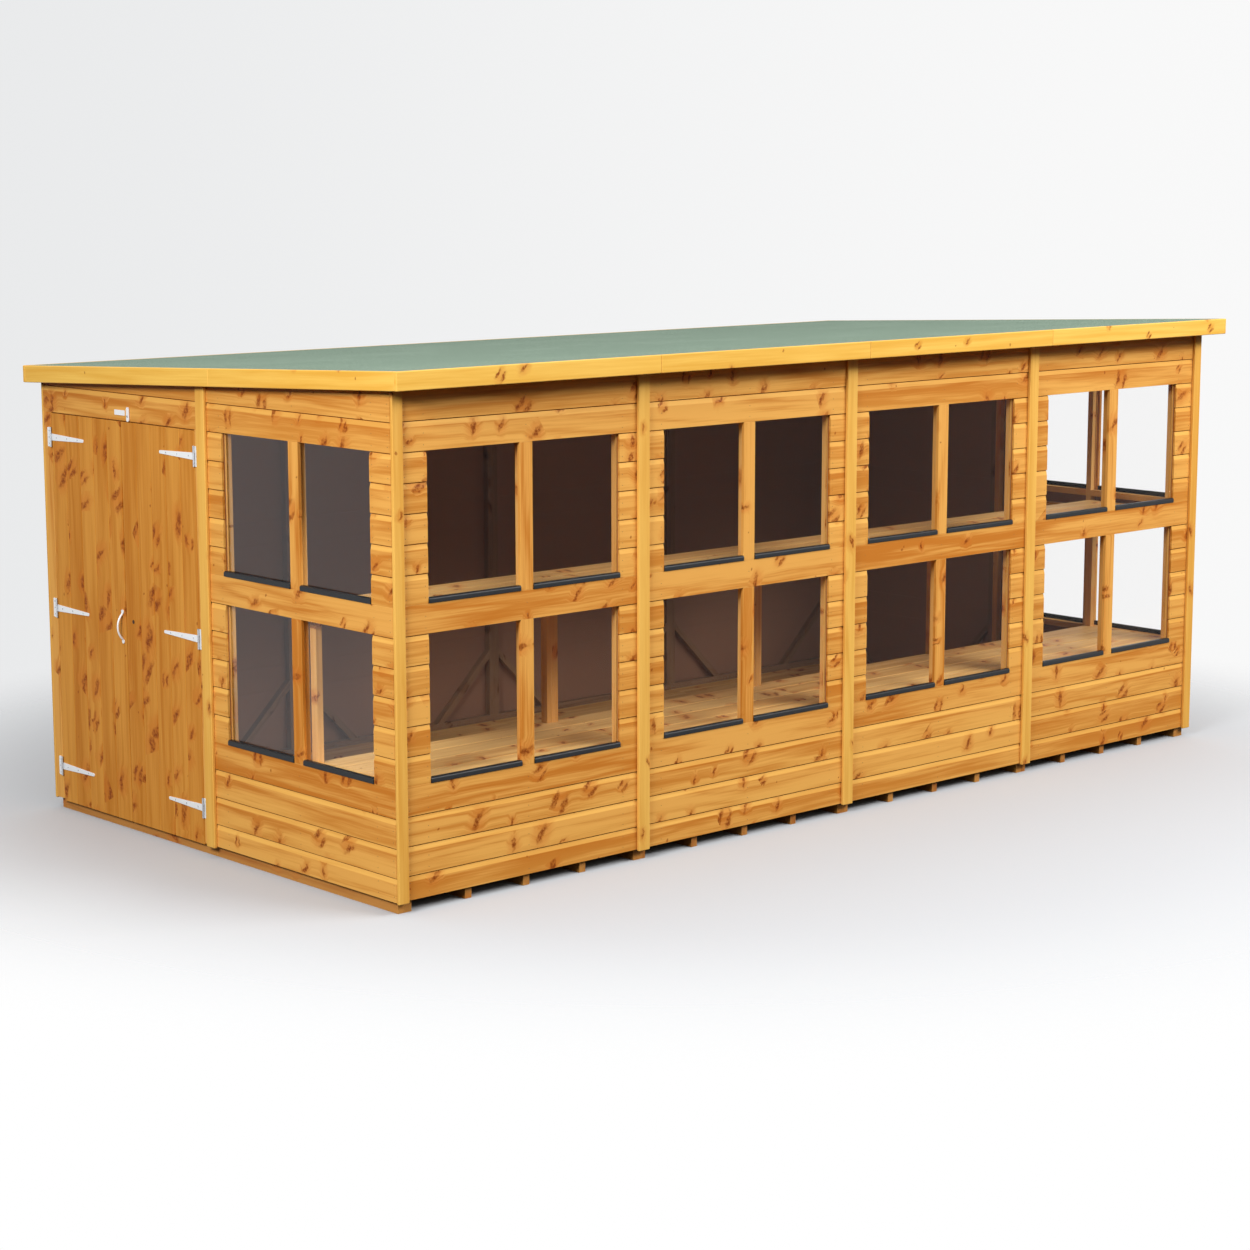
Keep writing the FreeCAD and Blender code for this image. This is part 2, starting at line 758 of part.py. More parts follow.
def roof_sheets():
    cuts = length_cuts(SHEET_LEFT, SHEET_RIGHT)
    return [roof_slice(SHEET_FRONT, SHEET_BACK, 0.0, ROOF_SHEET, *cut) for cut in cuts]


def roof_felt():
    step = (SHEET_BACK - SHEET_FRONT) / FELT_STRIPS
    solids = []
    for k in range(FELT_STRIPS):
        y0 = SHEET_FRONT + k * step
        solids.append(roof_slice(y0, y0 + step, ROOF_SHEET, ROOF_BUILD_UP, SHEET_LEFT, SHEET_RIGHT))
    return solids


def rafters():
    """Rafters between the front and back walls, at the panel joints and the middles of the panels."""
    places = [X_LEFT + WALL + k * FRONT_PANEL / 2 for k in range(1, 2 * FRONT_PANELS)]
    half = RAFTER_WIDTH / 2
    y0 = Y_FRONT + WALL
    y1 = Y_BACK - WALL
    return [roof_slice(y0, y1, -RAFTER_HEIGHT, 0.0, x - half, x + half) for x in places]


def long_fascia(y0):
    """A level fascia along the front or back edge, whose top is level with the felt beside it."""
    inner = y0 + FASCIA_THICKNESS if y0 == ROOF_FRONT else y0
    high = roof_underside(inner) + ROOF_BUILD_UP
    solids = []
    for x0, x1 in length_cuts(ROOF_LEFT, ROOF_RIGHT):
        corner = FreeCAD.Vector(x0, y0, high - FASCIA_HEIGHT)
        solids.append(Part.makeBox(x1 - x0, FASCIA_THICKNESS, FASCIA_HEIGHT, corner))
    return solids


def end_fascia(x0):
    """A sloping fascia along an end, in two lengths that meet in front of the panels' joint."""
    low = ROOF_BUILD_UP - FASCIA_HEIGHT
    joint = Y_FRONT + END_PANEL - FASCIA_JOINT_SHIFT
    x1 = x0 + FASCIA_THICKNESS
    return [
        roof_slice(SHEET_FRONT, joint, low, ROOF_BUILD_UP, x0, x1),
        roof_slice(joint, SHEET_BACK, low, ROOF_BUILD_UP, x0, x1),
    ]


# Staging bench

def bench_ends():
    """Places along the front wall of the legs, two to each panel."""
    places = []
    for start, end in FRONT_SPANS:
        places += [start, end - LEG_WIDTH]
    return places


def bench_legs():
    """Legs under the back edge of the upper shelf."""
    top = UPPER_SHELF_TOP - SHELF_BOARD
    solids = []
    for start in bench_ends():
        solids.append(FRONT.block(start, start + LEG_WIDTH, LEG_FRONT, BENCH_BACK, FLOOR_TOP, top))
    return solids


def bench_bearers():
    solids = []
    for shelf_top in (LOWER_SHELF_TOP, UPPER_SHELF_TOP):
        high = shelf_top - SHELF_BOARD
        for start in bench_ends():
            end = start + LEG_WIDTH
            solids.append(FRONT.block(start, end, WALL, LEG_FRONT, high - BEARER_HEIGHT, high))
    return solids


def shelf(top):
    """Boards from the front wall to the legs' backs, notched round the legs where these pass the shelf."""
    width = (BENCH_BACK - WALL - (SHELF_ROWS - 1) * SHELF_GAP) / SHELF_ROWS
    legs = bench_legs()
    solids = []
    for start, end in FRONT_SPANS:
        for k in range(SHELF_ROWS):
            near = WALL + k * (width + SHELF_GAP)
            board = FRONT.block(start, end, near, near + width, top - SHELF_BOARD, top)
            solids += board.cut(legs).Solids
    return solids


# Assembly

left_leaf = Leaf(1)
right_leaf = Leaf(-1)

keep("floor_joists", joists())
keep("floor_boards", floor_boards())
for number, span in enumerate(FRONT_SPANS, start=1):
    keep(f"front_frame_{number}", window_frame(FRONT, span))
    keep(f"front_cladding_{number}", window_cladding(FRONT, span))
    keep(f"back_frame_{number}", plain_frame(BACK, span))
    keep(f"back_cladding_{number}", plain_cladding(BACK, span))
    glass, beads, sills = panes_of(FRONT, span)
    keep("front_glazing", glass)
    keep("glazing_beads", beads)
    keep("front_sills", sills)
keep("left_window_frame", window_frame(LEFT, LEFT_WINDOW_SPAN))
keep("left_window_cladding", window_cladding(LEFT, LEFT_WINDOW_SPAN))
keep("right_window_frame", window_frame(RIGHT, RIGHT_WINDOW_SPAN))
keep("right_window_cladding", window_cladding(RIGHT, RIGHT_WINDOW_SPAN))
keep("right_plain_frame", plain_frame(RIGHT, RIGHT_PLAIN_SPAN))
keep("right_plain_cladding", plain_cladding(RIGHT, RIGHT_PLAIN_SPAN))
for wall, span in ((LEFT, LEFT_WINDOW_SPAN), (RIGHT, RIGHT_WINDOW_SPAN)):
    glass, beads, sills = panes_of(wall, span)
    keep("end_glazing", glass)
    keep("glazing_beads", beads)
    keep("end_sills", sills)
keep("door_panel_frame", door_panel_frame())
keep("door_panel_cladding", door_panel_cladding())
keep("corner_strips", corner_strips())
keep("joint_strips", joint_strips())
keep("roof_rafters", rafters())
keep("roof_boards", roof_sheets())
keep("roof_felt", roof_felt())
keep("fascia_front", long_fascia(ROOF_FRONT))
keep("fascia_back", long_fascia(SHEET_BACK))
keep("fascia_left", end_fascia(ROOF_LEFT))
keep("fascia_right", end_fascia(SHEET_RIGHT))
keep("bench_legs", bench_legs())
keep("bench_bearers", bench_bearers())
keep("upper_shelf", shelf(UPPER_SHELF_TOP))
keep("lower_shelf", shelf(LOWER_SHELF_TOP))
for name, leaf in (("left", left_leaf), ("right", right_leaf)):
    keep(f"{name}_door_boards", leaf.boards())
    keep(f"{name}_door_ledges", leaf.ledges())
    keep(f"{name}_door_straps", leaf.straps())
    keep(f"{name}_strap_screws", leaf.strap_screws())
    keep("hinge_plates", leaf.plates())
    keep("hinge_pins", leaf.pins())
    keep("frame_screws", leaf.plate_screws())
keep("pull_handle", pull_handle(left_leaf))
keep("door_lock", door_lock(right_leaf))
keep("lock_keeper", lock_keeper(left_leaf))
keep("bare_plate", bare_plate())
keep("turn_button", turn_button())
keep("frame_screws", turn_button_screw())

os.makedirs("parts", exist_ok=True)
for name, solids in nodes.items():
    Part.makeCompound(solids).exportStep(f"parts/{name}.step")
print(len(nodes), "nodes,", sum(len(solids) for solids in nodes.values()), "solids")
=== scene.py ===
"""A pent-roofed potting shed: timber panels, glazed front, double doors and a felted roof, in metres."""

import json
import logging
import math
import random
from collections.abc import Callable, Iterator
from contextlib import contextmanager
from dataclasses import dataclass, field
from enum import Enum

import bmesh
import bpy
import numpy as np
from mathutils import Matrix, Vector


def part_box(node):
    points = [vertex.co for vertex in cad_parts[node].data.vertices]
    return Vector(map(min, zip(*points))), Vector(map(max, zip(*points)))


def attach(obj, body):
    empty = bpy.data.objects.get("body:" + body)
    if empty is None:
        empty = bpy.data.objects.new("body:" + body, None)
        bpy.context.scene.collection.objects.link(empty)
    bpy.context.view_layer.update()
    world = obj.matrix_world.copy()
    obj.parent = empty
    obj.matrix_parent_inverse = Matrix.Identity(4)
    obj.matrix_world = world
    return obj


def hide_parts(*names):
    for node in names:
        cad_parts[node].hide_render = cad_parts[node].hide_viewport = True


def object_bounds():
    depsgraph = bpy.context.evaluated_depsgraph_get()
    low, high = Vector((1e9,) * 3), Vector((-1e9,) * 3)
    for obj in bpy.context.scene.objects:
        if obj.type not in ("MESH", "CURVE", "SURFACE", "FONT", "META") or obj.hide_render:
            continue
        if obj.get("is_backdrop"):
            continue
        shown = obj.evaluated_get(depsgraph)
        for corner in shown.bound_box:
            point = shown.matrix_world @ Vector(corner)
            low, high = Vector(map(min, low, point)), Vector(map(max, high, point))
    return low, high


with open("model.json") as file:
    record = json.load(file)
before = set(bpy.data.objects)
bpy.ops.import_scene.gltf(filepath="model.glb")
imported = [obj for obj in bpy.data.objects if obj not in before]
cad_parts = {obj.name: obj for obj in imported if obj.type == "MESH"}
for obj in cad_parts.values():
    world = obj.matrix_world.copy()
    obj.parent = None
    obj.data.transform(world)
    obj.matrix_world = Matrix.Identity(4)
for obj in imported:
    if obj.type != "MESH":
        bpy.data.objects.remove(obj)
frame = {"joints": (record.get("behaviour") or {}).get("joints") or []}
CAD_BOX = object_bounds()

log = logging.getLogger("potting_shed")

Piece = bpy.types.Object
Material = bpy.types.Material
Socket = bpy.types.NodeSocket
Colour = tuple[float, float, float, float]
Point = tuple[float, float]
Span = tuple[float, float]
Triple = tuple[float, float, float]
Outline = list[Point]

SMOOTH_ANGLE = math.radians(40)
TOUCH = 1e-5  # places nearer than this are the same
SEED = 23  # starts the draws of each board's grain and tone


def shown(red: int, green: int, blue: int) -> Colour:
    """Turns a colour as a screen shows it, 0 to 255, into the linear one that shaders take.

    Args:
        red: Red as shown.
        green: Green as shown.
        blue: Blue as shown.

    Returns:
        The linear colour, with an alpha of 1.
    """
    shares = [part / 255 for part in (red, green, blue)]
    linear = [part / 12.92 if part <= 0.04045 else ((part + 0.055) / 1.055) ** 2.4 for part in shares]
    return (linear[0], linear[1], linear[2], 1.0)


# Modelling


class Element(Enum):
    """What edit mode can pick."""

    CORNER = "VERT"
    EDGE = "EDGE"
    FACE = "FACE"


@contextmanager
def editing(piece: Piece) -> Iterator[None]:
    """Opens a piece in edit mode with nothing selected, and leaves edit mode afterwards.

    Args:
        piece: The mesh object to edit.
    """
    bpy.ops.object.select_all(action="DESELECT")
    bpy.context.view_layer.objects.active = piece
    piece.select_set(True)
    bpy.ops.object.mode_set(mode="EDIT")
    bpy.ops.mesh.select_all(action="DESELECT")
    yield
    bpy.ops.object.mode_set(mode="OBJECT")


def pick(piece: Piece, kind: Element, test: Callable[[Vector], bool]) -> None:
    """Selects what lies wholly where a test says.

    Args:
        piece: The mesh object that is open in edit mode.
        kind: What to pick.
        test: Says of a place whether it counts.
    """
    bpy.ops.mesh.select_mode(type=kind.value)
    bpy.ops.mesh.select_all(action="DESELECT")
    mesh = bmesh.from_edit_mesh(piece.data)
    if kind is Element.CORNER:
        chosen = [corner for corner in mesh.verts if test(corner.co)]
    else:
        parts = mesh.edges if kind is Element.EDGE else mesh.faces
        chosen = [part for part in parts if all(test(corner.co) for corner in part.verts)]
    for part in chosen:
        part.select_set(True)
    mesh.select_flush_mode()
    bmesh.update_edit_mesh(piece.data)


def pick_all() -> None:
    """Selects the whole of the piece that is open in edit mode."""
    bpy.ops.mesh.select_all(action="SELECT")


def ease(width: float, steps: int) -> None:
    """Rounds off the picked edges, in a number of steps."""
    bpy.ops.mesh.bevel(offset=width, segments=steps, affect="EDGES")


def near(value: float, target: float) -> bool:
    """Says whether two lengths are the same to a hundredth of a millimetre."""
    return abs(value - target) < TOUCH


def ease_face(piece: Piece, depth: float, width: float, steps: int) -> None:
    """Rounds off the edges of a face that looks out of the wall, at a depth from the wall's own face."""
    pick(piece, Element.EDGE, lambda at: near(at.y, depth))
    ease(width, steps)


def ease_corners(piece: Piece, ends: tuple[float, ...], heights: Span, width: float, steps: int) -> None:
    """Rounds off the corners of a flat piece that is open in edit mode.

    Args:
        piece: The piece.
        ends: Where the corners are along the wall.
        heights: The heights that they are at.
        width: The width of the rounding.
        steps: How many flats it is made of.
    """
    for x in ends:
        for z in heights:
            pick(piece, Element.EDGE, lambda at, x=x, z=z: near(at.x, x) and near(at.z, z))
            ease(width, steps)


def applied(name: str) -> Piece:
    """Names the primitive just added and puts its place into its mesh.

    Args:
        name: The object's name.

    Returns:
        The object, at the origin.
    """
    bpy.ops.object.transform_apply(location=True, rotation=True, scale=True)
    piece = bpy.context.object
    piece.name = name
    piece.data.name = name
    return piece


def block(name: str, low: Vector, high: Vector) -> Piece:
    """Adds a cube stretched between its lowest and its highest corner."""
    bpy.ops.mesh.primitive_cube_add(size=1.0, location=(low + high) / 2, scale=high - low)
    return applied(name)


def rod(name: str, start: Vector, end: Vector, radius: float, sides: int = 24, rim: float = 0.0) -> Piece:
    """Adds a round bar, with its rims eased.

    Args:
        name: The object's name.
        start: Middle of one end.
        end: Middle of the other end.
        radius: The bar's radius.
        sides: Flats round the bar.
        rim: Width of the rounding at both ends.

    Returns:
        The new object.
    """
    axis = end - start
    bpy.ops.mesh.primitive_cylinder_add(
        vertices=sides,
        radius=radius,
        depth=axis.length,
        location=(start + end) / 2,
        rotation=axis.to_track_quat("Z", "Y").to_euler(),
    )
    piece = applied(name)
    if rim > 0:
        along = axis.normalized()
        with editing(piece):
            for place in (start, end):
                pick(piece, Element.EDGE, lambda corner, at=place: near((corner - at).dot(along), 0))
                ease(rim, 2)
    return piece


def copied(source: Piece, name: str, matrix: Matrix) -> Piece:
    """Copies a modelled part, mesh and all, to another place.

    Args:
        source: The part to copy.
        name: The copy's name.
        matrix: Where the copy goes, seen from the source's own frame.

    Returns:
        The copy, with its place in its mesh.
    """
    piece = source.copy()
    piece.data = source.data.copy()
    piece.name = name
    piece.data.transform(matrix)
    bpy.context.collection.objects.link(piece)
    return piece


def joined(name: str, parts: list[Piece]) -> Piece:
    """Joins parts into one object.

    Args:
        name: The joined object's name.
        parts: The parts, which are used up.

    Returns:
        The joined object.
    """
    bpy.ops.object.select_all(action="DESELECT")
    for part in parts:
        part.select_set(True)
    bpy.context.view_layer.objects.active = parts[0]
    if len(parts) > 1:
        bpy.ops.object.join()
    piece = parts[0]
    piece.name = name
    piece.data.name = name
    return piece


def trim(piece: Piece, point: Vector, normal: Vector) -> None:
    """Saws off what lies beyond a plane and closes the cut.

    Args:
        piece: The part to saw.
        point: A place on the plane.
        normal: Points to the side that falls off.
    """
    with editing(piece):
        pick_all()
        bpy.ops.mesh.bisect(plane_co=point, plane_no=normal, use_fill=True, clear_outer=True)


def rectangle(along: Span, height: Span) -> Outline:
    """The four corners of an upright rectangle, anticlockwise from its low left one."""
    return [(along[0], height[0]), (along[1], height[0]), (along[1], height[1]), (along[0], height[1])]


def ordered(first: float, second: float) -> Span:
    """Two numbers in rising order."""
    return (min(first, second), max(first, second))


# Finishes


class Graph:
    """The shader nodes of a material or of the world, added and linked by short calls."""

    def __init__(self, owner: Material | bpy.types.World) -> None:
        """Starts with no nodes.

        Args:
            owner: The material or the world that the nodes are for.
        """
        self.owner = owner
        owner.use_nodes = True
        self.nodes = owner.node_tree.nodes
        self.links = owner.node_tree.links
        self.nodes.clear()

    def add(self, kind: str, inputs: dict, **settings) -> bpy.types.Node:
        """Adds a node.

        Args:
            kind: Blender's name for the node.
            inputs: Socket names or numbers, each with the value or the socket that feeds it.
            settings: The node's own options.

        Returns:
            The node.
        """
        node = self.nodes.new(kind)
        for name, value in settings.items():
            setattr(node, name, value)
        for name, value in inputs.items():
            if isinstance(value, Socket):
                self.links.new(value, node.inputs[name])
            else:
                node.inputs[name].default_value = value
        return node

    def attribute(self, name: str, output: str) -> Socket:
        """Reads a named attribute of the mesh."""
        return self.add("ShaderNodeAttribute", {}, attribute_name=name).outputs[output]

    def place(self) -> Socket:
        """Reads where a point lies on its object."""
        return self.add("ShaderNodeTexCoord", {}).outputs["Object"]

    def sum(self, operation: str, *terms) -> Socket:
        """Works out one step of arithmetic on numbers or sockets."""
        return self.add("ShaderNodeMath", dict(enumerate(terms)), operation=operation).outputs[0]

    def vector(self, operation: str, *terms) -> Socket:
        """Works out one step of arithmetic on vectors."""
        return self.add("ShaderNodeVectorMath", dict(enumerate(terms)), operation=operation).outputs[0]

    def length(self, term: Socket) -> Socket:
        """The length of a vector."""
        return self.add("ShaderNodeVectorMath", {0: term}, operation="LENGTH").outputs["Value"]

    def noise(self, place, scale: float, detail: float, roughness: float = 0.5) -> Socket:
        """Soft noise from 0 to 1 at a place."""
        inputs = {"Vector": place, "Scale": scale, "Detail": detail, "Roughness": roughness}
        return self.add("ShaderNodeTexNoise", inputs).outputs["Fac"]

    def fade(self, value, start: float, end: float) -> Socket:
        """Rises smoothly from 0 at the start to 1 at the end, also where the start is the larger."""
        flipped = start > end
        inputs = {"Value": value, "From Min": min(start, end), "From Max": max(start, end)}
        inputs.update({"To Min": 1.0 if flipped else 0.0, "To Max": 0.0 if flipped else 1.0})
        return self.add("ShaderNodeMapRange", inputs, interpolation_type="SMOOTHSTEP").outputs["Result"]

    def mix(self, share, first, second) -> Socket:
        """Mixes two colours by a share from 0 to 1."""
        return self.add("ShaderNodeMix", {0: share, 6: first, 7: second}, data_type="RGBA").outputs[2]

    def scaled(self, share, strength: float) -> Socket:
        """A share, weakened to a strength."""
        return self.sum("MULTIPLY", share, strength)

    def bump(self, height, strength: float, depth: float) -> Socket:
        """Turns a height into a surface that catches the light."""
        inputs = {"Height": height, "Strength": strength, "Distance": depth}
        return self.add("ShaderNodeBump", inputs).outputs["Normal"]

    def looked_at(self) -> Socket:
        """Is 1 where the camera looks, straight on or by way of metal and glass, and 0 for lighting."""
        path = self.add("ShaderNodeLightPath", {}).outputs
        seen = self.sum("MAXIMUM", path["Is Camera Ray"], path["Is Glossy Ray"])
        seen = self.sum("MAXIMUM", seen, path["Is Transmission Ray"])
        return self.sum("MULTIPLY", seen, self.sum("LESS_THAN", path["Diffuse Depth"], 0.5))

    def coat(self, inputs: dict) -> Material:
        """Ends the nodes with a coated surface, given its sockets."""
        return self.close(self.add("ShaderNodeBsdfPrincipled", inputs).outputs[0])

    def close(self, shader: Socket) -> Material:
        """Ends the nodes with a shader, and returns what they are for."""
        kind = "World" if isinstance(self.owner, bpy.types.World) else "Material"
        self.add(f"ShaderNodeOutput{kind}", {"Surface": shader})
        return self.owner


@dataclass(frozen=True)
class Finish:
    """What every finish has: a name, and a material that is made once."""

    name: str

    def draw(self, graph: Graph) -> Material:
        """Draws the finish's nodes; each kind of finish has its own."""
        raise NotImplementedError

    def material(self) -> Material:
        """Gives the finish's material, made at its first use."""
        made = bpy.data.materials.get(self.name)
        return made or self.draw(Graph(bpy.data.materials.new(self.name)))


@dataclass(frozen=True)
class Softwood(Finish):
    """Dipped softwood. Its grain follows each board's own length, width and depth. Its coves and rounded
    edges take a painted highlight, and its slits and backs a painted shade.
    """

    pale: Colour
    deep: Colour
    # Colour of the painted highlight on coves and rounded edges
    edge: Colour
    knot: Colour = shown(204, 110, 34)
    mark: Colour = shown(152, 68, 6)
    heart: Colour = shown(108, 44, 0)
    # Colour of the painted shade on the boards' backs, which darkens the shed's inside
    sawn: Colour = shown(146, 114, 94)
    knot_share: float = 0.42
    knot_size: float = 0.027
    knot_lean: float = -1.05
    knot_spacing: Span = (0.15, 0.11)
    pin_share: float = 0.15
    pin_size: float = 0.0045
    pin_spacing: Span = (0.19, 0.09)
    smallest_knot: float = 0.4
    lean_range: float = 1.1
    ragged_scale: float = 0.55
    ragged_reach: float = 2.0
    shuffle: float = 7.0
    twin_share: float = 0.3
    stroke: Triple = (0.6, 1.8, 0.0)
    oval: Triple = (0.42, 0.6, 0.0)
    halo_fade: Span = (1.5, 0.4)
    halo_strength: float = 0.4
    core_fade: Span = (1.3, 0.5)
    core_strength: float = 0.85
    heart_fade: Span = (1.0, 0.2)
    heart_strength: float = 0.6
    pin_fade: Span = (1.0, 0.4)
    pin_strength: float = 0.7
    blotch_scale: float = 75.0
    blotch_fade: Span = (0.40, 0.60)
    sway_stretch: Triple = (2.2, 16.0, 16.0)
    sway_reach: float = 0.02
    streak_stretch: Triple = (3.0, 120.0, 120.0)
    streak_weight: float = 0.75
    ring_stretch: Triple = (0.55, 11.0, 11.0)
    ring_count: float = 9.0
    ring_sharpness: float = 1.6
    ring_weight: float = 0.30
    cloud_stretch: Triple = (1.8, 20.0, 20.0)
    cloud_weight: float = 0.70
    tone_weight: float = 0.36
    shade_level: float = -0.55
    figure: float = 1.0
    # Strength of the painted highlight on coves and rounded edges
    paint: float = 0.5
    # Painted shade in the slit over each cove and on the boards' backs, and its strength
    slit_fade: Span = (0.0, -0.3)
    sawn_fade: Span = (-0.4, -1.0)
    shade_strength: float = 0.85
    streak_relief: float = 0.8
    knot_relief: float = -0.3
    relief: float = 0.3
    relief_depth: float = 0.001
    roughness: float = 0.5
    gloss: float = 0.12

    def knots(self, graph: Graph, grain, spacing: Span, size: float, share: float) -> tuple:
        """Scatters knots over a board.

        Args:
            graph: The material being drawn.
            grain: Place along, across and through the board.
            spacing: Usual distances between knots along the board and across it.
            size: Radius of the largest knots.
            share: Share of the places that hold a knot.

        Returns:
            Distances in knot radii from the knot's strokes and from its middle, and 1 where the place
            holds a knot.
        """
        pitch, lane = spacing
        cells = graph.vector("MULTIPLY", grain, (1 / pitch, 1 / lane, 0))
        cell = graph.add("ShaderNodeTexVoronoi", {"Vector": cells, "Scale": 1.0}, voronoi_dimensions="2D")
        away = graph.vector("SUBTRACT", cells, cell.outputs["Position"])
        away = graph.vector("MULTIPLY", away, (pitch, lane, 0))
        uneven = {"Vector": grain, "Scale": self.ragged_scale / size, "Detail": 4.0, "Roughness": 0.6}
        ragged = graph.add("ShaderNodeTexNoise", uneven).outputs["Color"]
        ragged = graph.vector("SUBTRACT", ragged, (0.5, 0.5, 0.5))
        reach = size * self.ragged_reach
        away = graph.vector("ADD", away, graph.vector("MULTIPLY", ragged, (reach, reach, 0)))
        chance = graph.add("ShaderNodeSeparateColor", {"Color": cell.outputs["Color"]}).outputs
        smallest = size * self.smallest_knot
        radius = graph.sum("MULTIPLY_ADD", chance["Blue"], size - smallest, smallest)
        least_lean = self.knot_lean - self.lean_range / 2
        lean = graph.sum("MULTIPLY_ADD", chance["Green"], self.lean_range, least_lean)
        turned = {"Vector": away, "Angle": lean}
        knot = graph.add("ShaderNodeVectorRotate", turned, rotation_type="Z_AXIS").outputs[0]
        parts = graph.add("ShaderNodeSeparateXYZ", {0: knot}).outputs
        kind = graph.sum("FRACT", graph.scaled(chance["Green"], self.shuffle))
        twin = graph.sum("MULTIPLY", graph.sum("GREATER_THAN", kind, 1 - self.twin_share), radius)
        beside = graph.sum("SUBTRACT", graph.sum("ABSOLUTE", parts["Y"]), twin)
        stroke = graph.add("ShaderNodeCombineXYZ", {"X": parts["X"], "Y": beside}).outputs[0]
        shape = graph.length(graph.vector("MULTIPLY", stroke, self.stroke))
        middle = graph.length(graph.vector("MULTIPLY", knot, self.oval))
        there = graph.sum("LESS_THAN", chance["Red"], share)
        return graph.sum("DIVIDE", shape, radius), graph.sum("DIVIDE", middle, radius), there

    def draw(self, graph: Graph) -> Material:
        """Draws the grain, the knots and the tone of each board, with painted highlight on coves and rounded
        edges and painted shade in slits and on backs.

        Args:
            graph: The material being drawn.

        Returns:
            The finished material.
        """
        grain = graph.attribute("grain", "Vector")
        tone = graph.attribute("tone", "Fac")
        painted_light = graph.attribute("edge", "Fac")
        shape, middle, there = self.knots(graph, grain, self.knot_spacing, self.knot_size, self.knot_share)
        halo = graph.sum("MULTIPLY", graph.fade(middle, *self.halo_fade), there)
        core = graph.sum("MULTIPLY", graph.fade(shape, *self.core_fade), there)
        blotch = graph.fade(graph.noise(grain, self.blotch_scale, 4.0, 0.65), *self.blotch_fade)
        core = graph.sum("MULTIPLY", core, graph.sum("MULTIPLY_ADD", blotch, 0.5, 0.5))
        heart = graph.sum("MULTIPLY", graph.fade(shape, *self.heart_fade), there)
        heart = graph.sum("MULTIPLY", heart, blotch)
        _, pin_middle, pin_there = self.knots(graph, grain, self.pin_spacing, self.pin_size, self.pin_share)
        pin = graph.sum("MULTIPLY", graph.fade(pin_middle, *self.pin_fade), pin_there)

        drift = graph.noise(graph.vector("MULTIPLY", grain, self.sway_stretch), 1.0, 2.0)
        sway = graph.sum("ADD", halo, drift)
        push = graph.add("ShaderNodeCombineXYZ", {"Y": graph.scaled(sway, self.sway_reach)}).outputs[0]
        swayed = graph.vector("ADD", grain, push)
        streaks = graph.noise(graph.vector("MULTIPLY", swayed, self.streak_stretch), 1.0, 3.0, 0.6)
        rings = graph.noise(graph.vector("MULTIPLY", swayed, self.ring_stretch), 1.0, 1.0)
        rings = graph.sum("PINGPONG", graph.scaled(rings, self.ring_count), 1.0)
        rings = graph.sum("POWER", rings, self.ring_sharpness)
        clouds = graph.noise(graph.vector("MULTIPLY", swayed, self.cloud_stretch), 1.0, 3.0)

        shade = graph.sum("MULTIPLY_ADD", streaks, self.streak_weight, self.shade_level)
        shade = graph.sum("MULTIPLY_ADD", rings, self.ring_weight, shade)
        shade = graph.sum("MULTIPLY_ADD", clouds, self.cloud_weight, shade)
        shade = graph.sum("MULTIPLY_ADD", tone, self.tone_weight, shade)
        soft = 0.5 / self.figure
        timber = graph.mix(graph.fade(shade, 0.5 - soft, 0.5 + soft), self.pale, self.deep)
        # Painted highlight on coves, rounded edges and the lower half of shiplap boards
        timber = graph.mix(graph.scaled(graph.sum("MAXIMUM", painted_light, 0.0), self.paint), timber, self.edge)
        timber = graph.mix(graph.scaled(halo, self.halo_strength), timber, self.knot)
        timber = graph.mix(graph.scaled(core, self.core_strength), timber, self.mark)
        timber = graph.mix(graph.scaled(heart, self.heart_strength), timber, self.heart)
        timber = graph.mix(graph.scaled(pin, self.pin_strength), timber, self.mark)
        # Painted shade in the slit over each cove, in the knots' mark colour
        slit = graph.fade(painted_light, *self.slit_fade)
        timber = graph.mix(graph.scaled(slit, self.shade_strength), timber, self.mark)
        # Painted shade on the boards' backs
        sawn = graph.fade(painted_light, *self.sawn_fade)
        timber = graph.mix(graph.scaled(sawn, self.shade_strength), timber, self.sawn)

        height = graph.sum("MULTIPLY_ADD", core, self.knot_relief, graph.scaled(streaks, self.streak_relief))
        return graph.coat({
            "Base Color": timber,
            "Roughness": self.roughness,
            "Specular IOR Level": self.gloss,
            "Normal": graph.bump(height, self.relief, self.relief_depth),
        })


@dataclass(frozen=True)
class Felt(Finish):
    """Roofing felt with a coat of mineral chips."""

    ground: Colour
    pale_chip: Colour
    dark_chip: Colour
    chip: float = 0.0022
    pale_fade: Span = (0.55, 1.0)
    dark_fade: Span = (0.70, 1.0)
    clump_scale: float = 95.0
    clump_fade: Span = (0.52, 0.72)
    patch_scale: float = 2.4
    patch_fade: Span = (0.4, 0.75)
    patch_strength: float = 0.2
    relief: float = 0.6
    relief_depth: float = 0.0015
    roughness: float = 0.92

    def draw(self, graph: Graph) -> Material:
        """Draws chips in three greens over slow patches.

        Args:
            graph: The material being drawn.

        Returns:
            The finished material.
        """
        place = graph.place()
        chips = graph.add("ShaderNodeTexVoronoi", {"Vector": place, "Scale": 1 / self.chip})
        chance = graph.add("ShaderNodeSeparateColor", {"Color": chips.outputs["Color"]}).outputs
        clumps = graph.noise(place, self.clump_scale, 4.0, 0.7)
        patches = graph.fade(graph.noise(place, self.patch_scale, 3.0), *self.patch_fade)
        coat = graph.mix(graph.fade(chance["Red"], *self.pale_fade), self.ground, self.pale_chip)
        coat = graph.mix(graph.fade(chance["Green"], *self.dark_fade), coat, self.dark_chip)
        coat = graph.mix(graph.fade(clumps, *self.clump_fade), coat, self.dark_chip)
        coat = graph.mix(graph.scaled(patches, self.patch_strength), coat, self.pale_chip)
        height = graph.sum("ADD", chips.outputs["Distance"], clumps)
        return graph.coat({
            "Base Color": coat,
            "Roughness": self.roughness,
            "Normal": graph.bump(height, self.relief, self.relief_depth),
        })


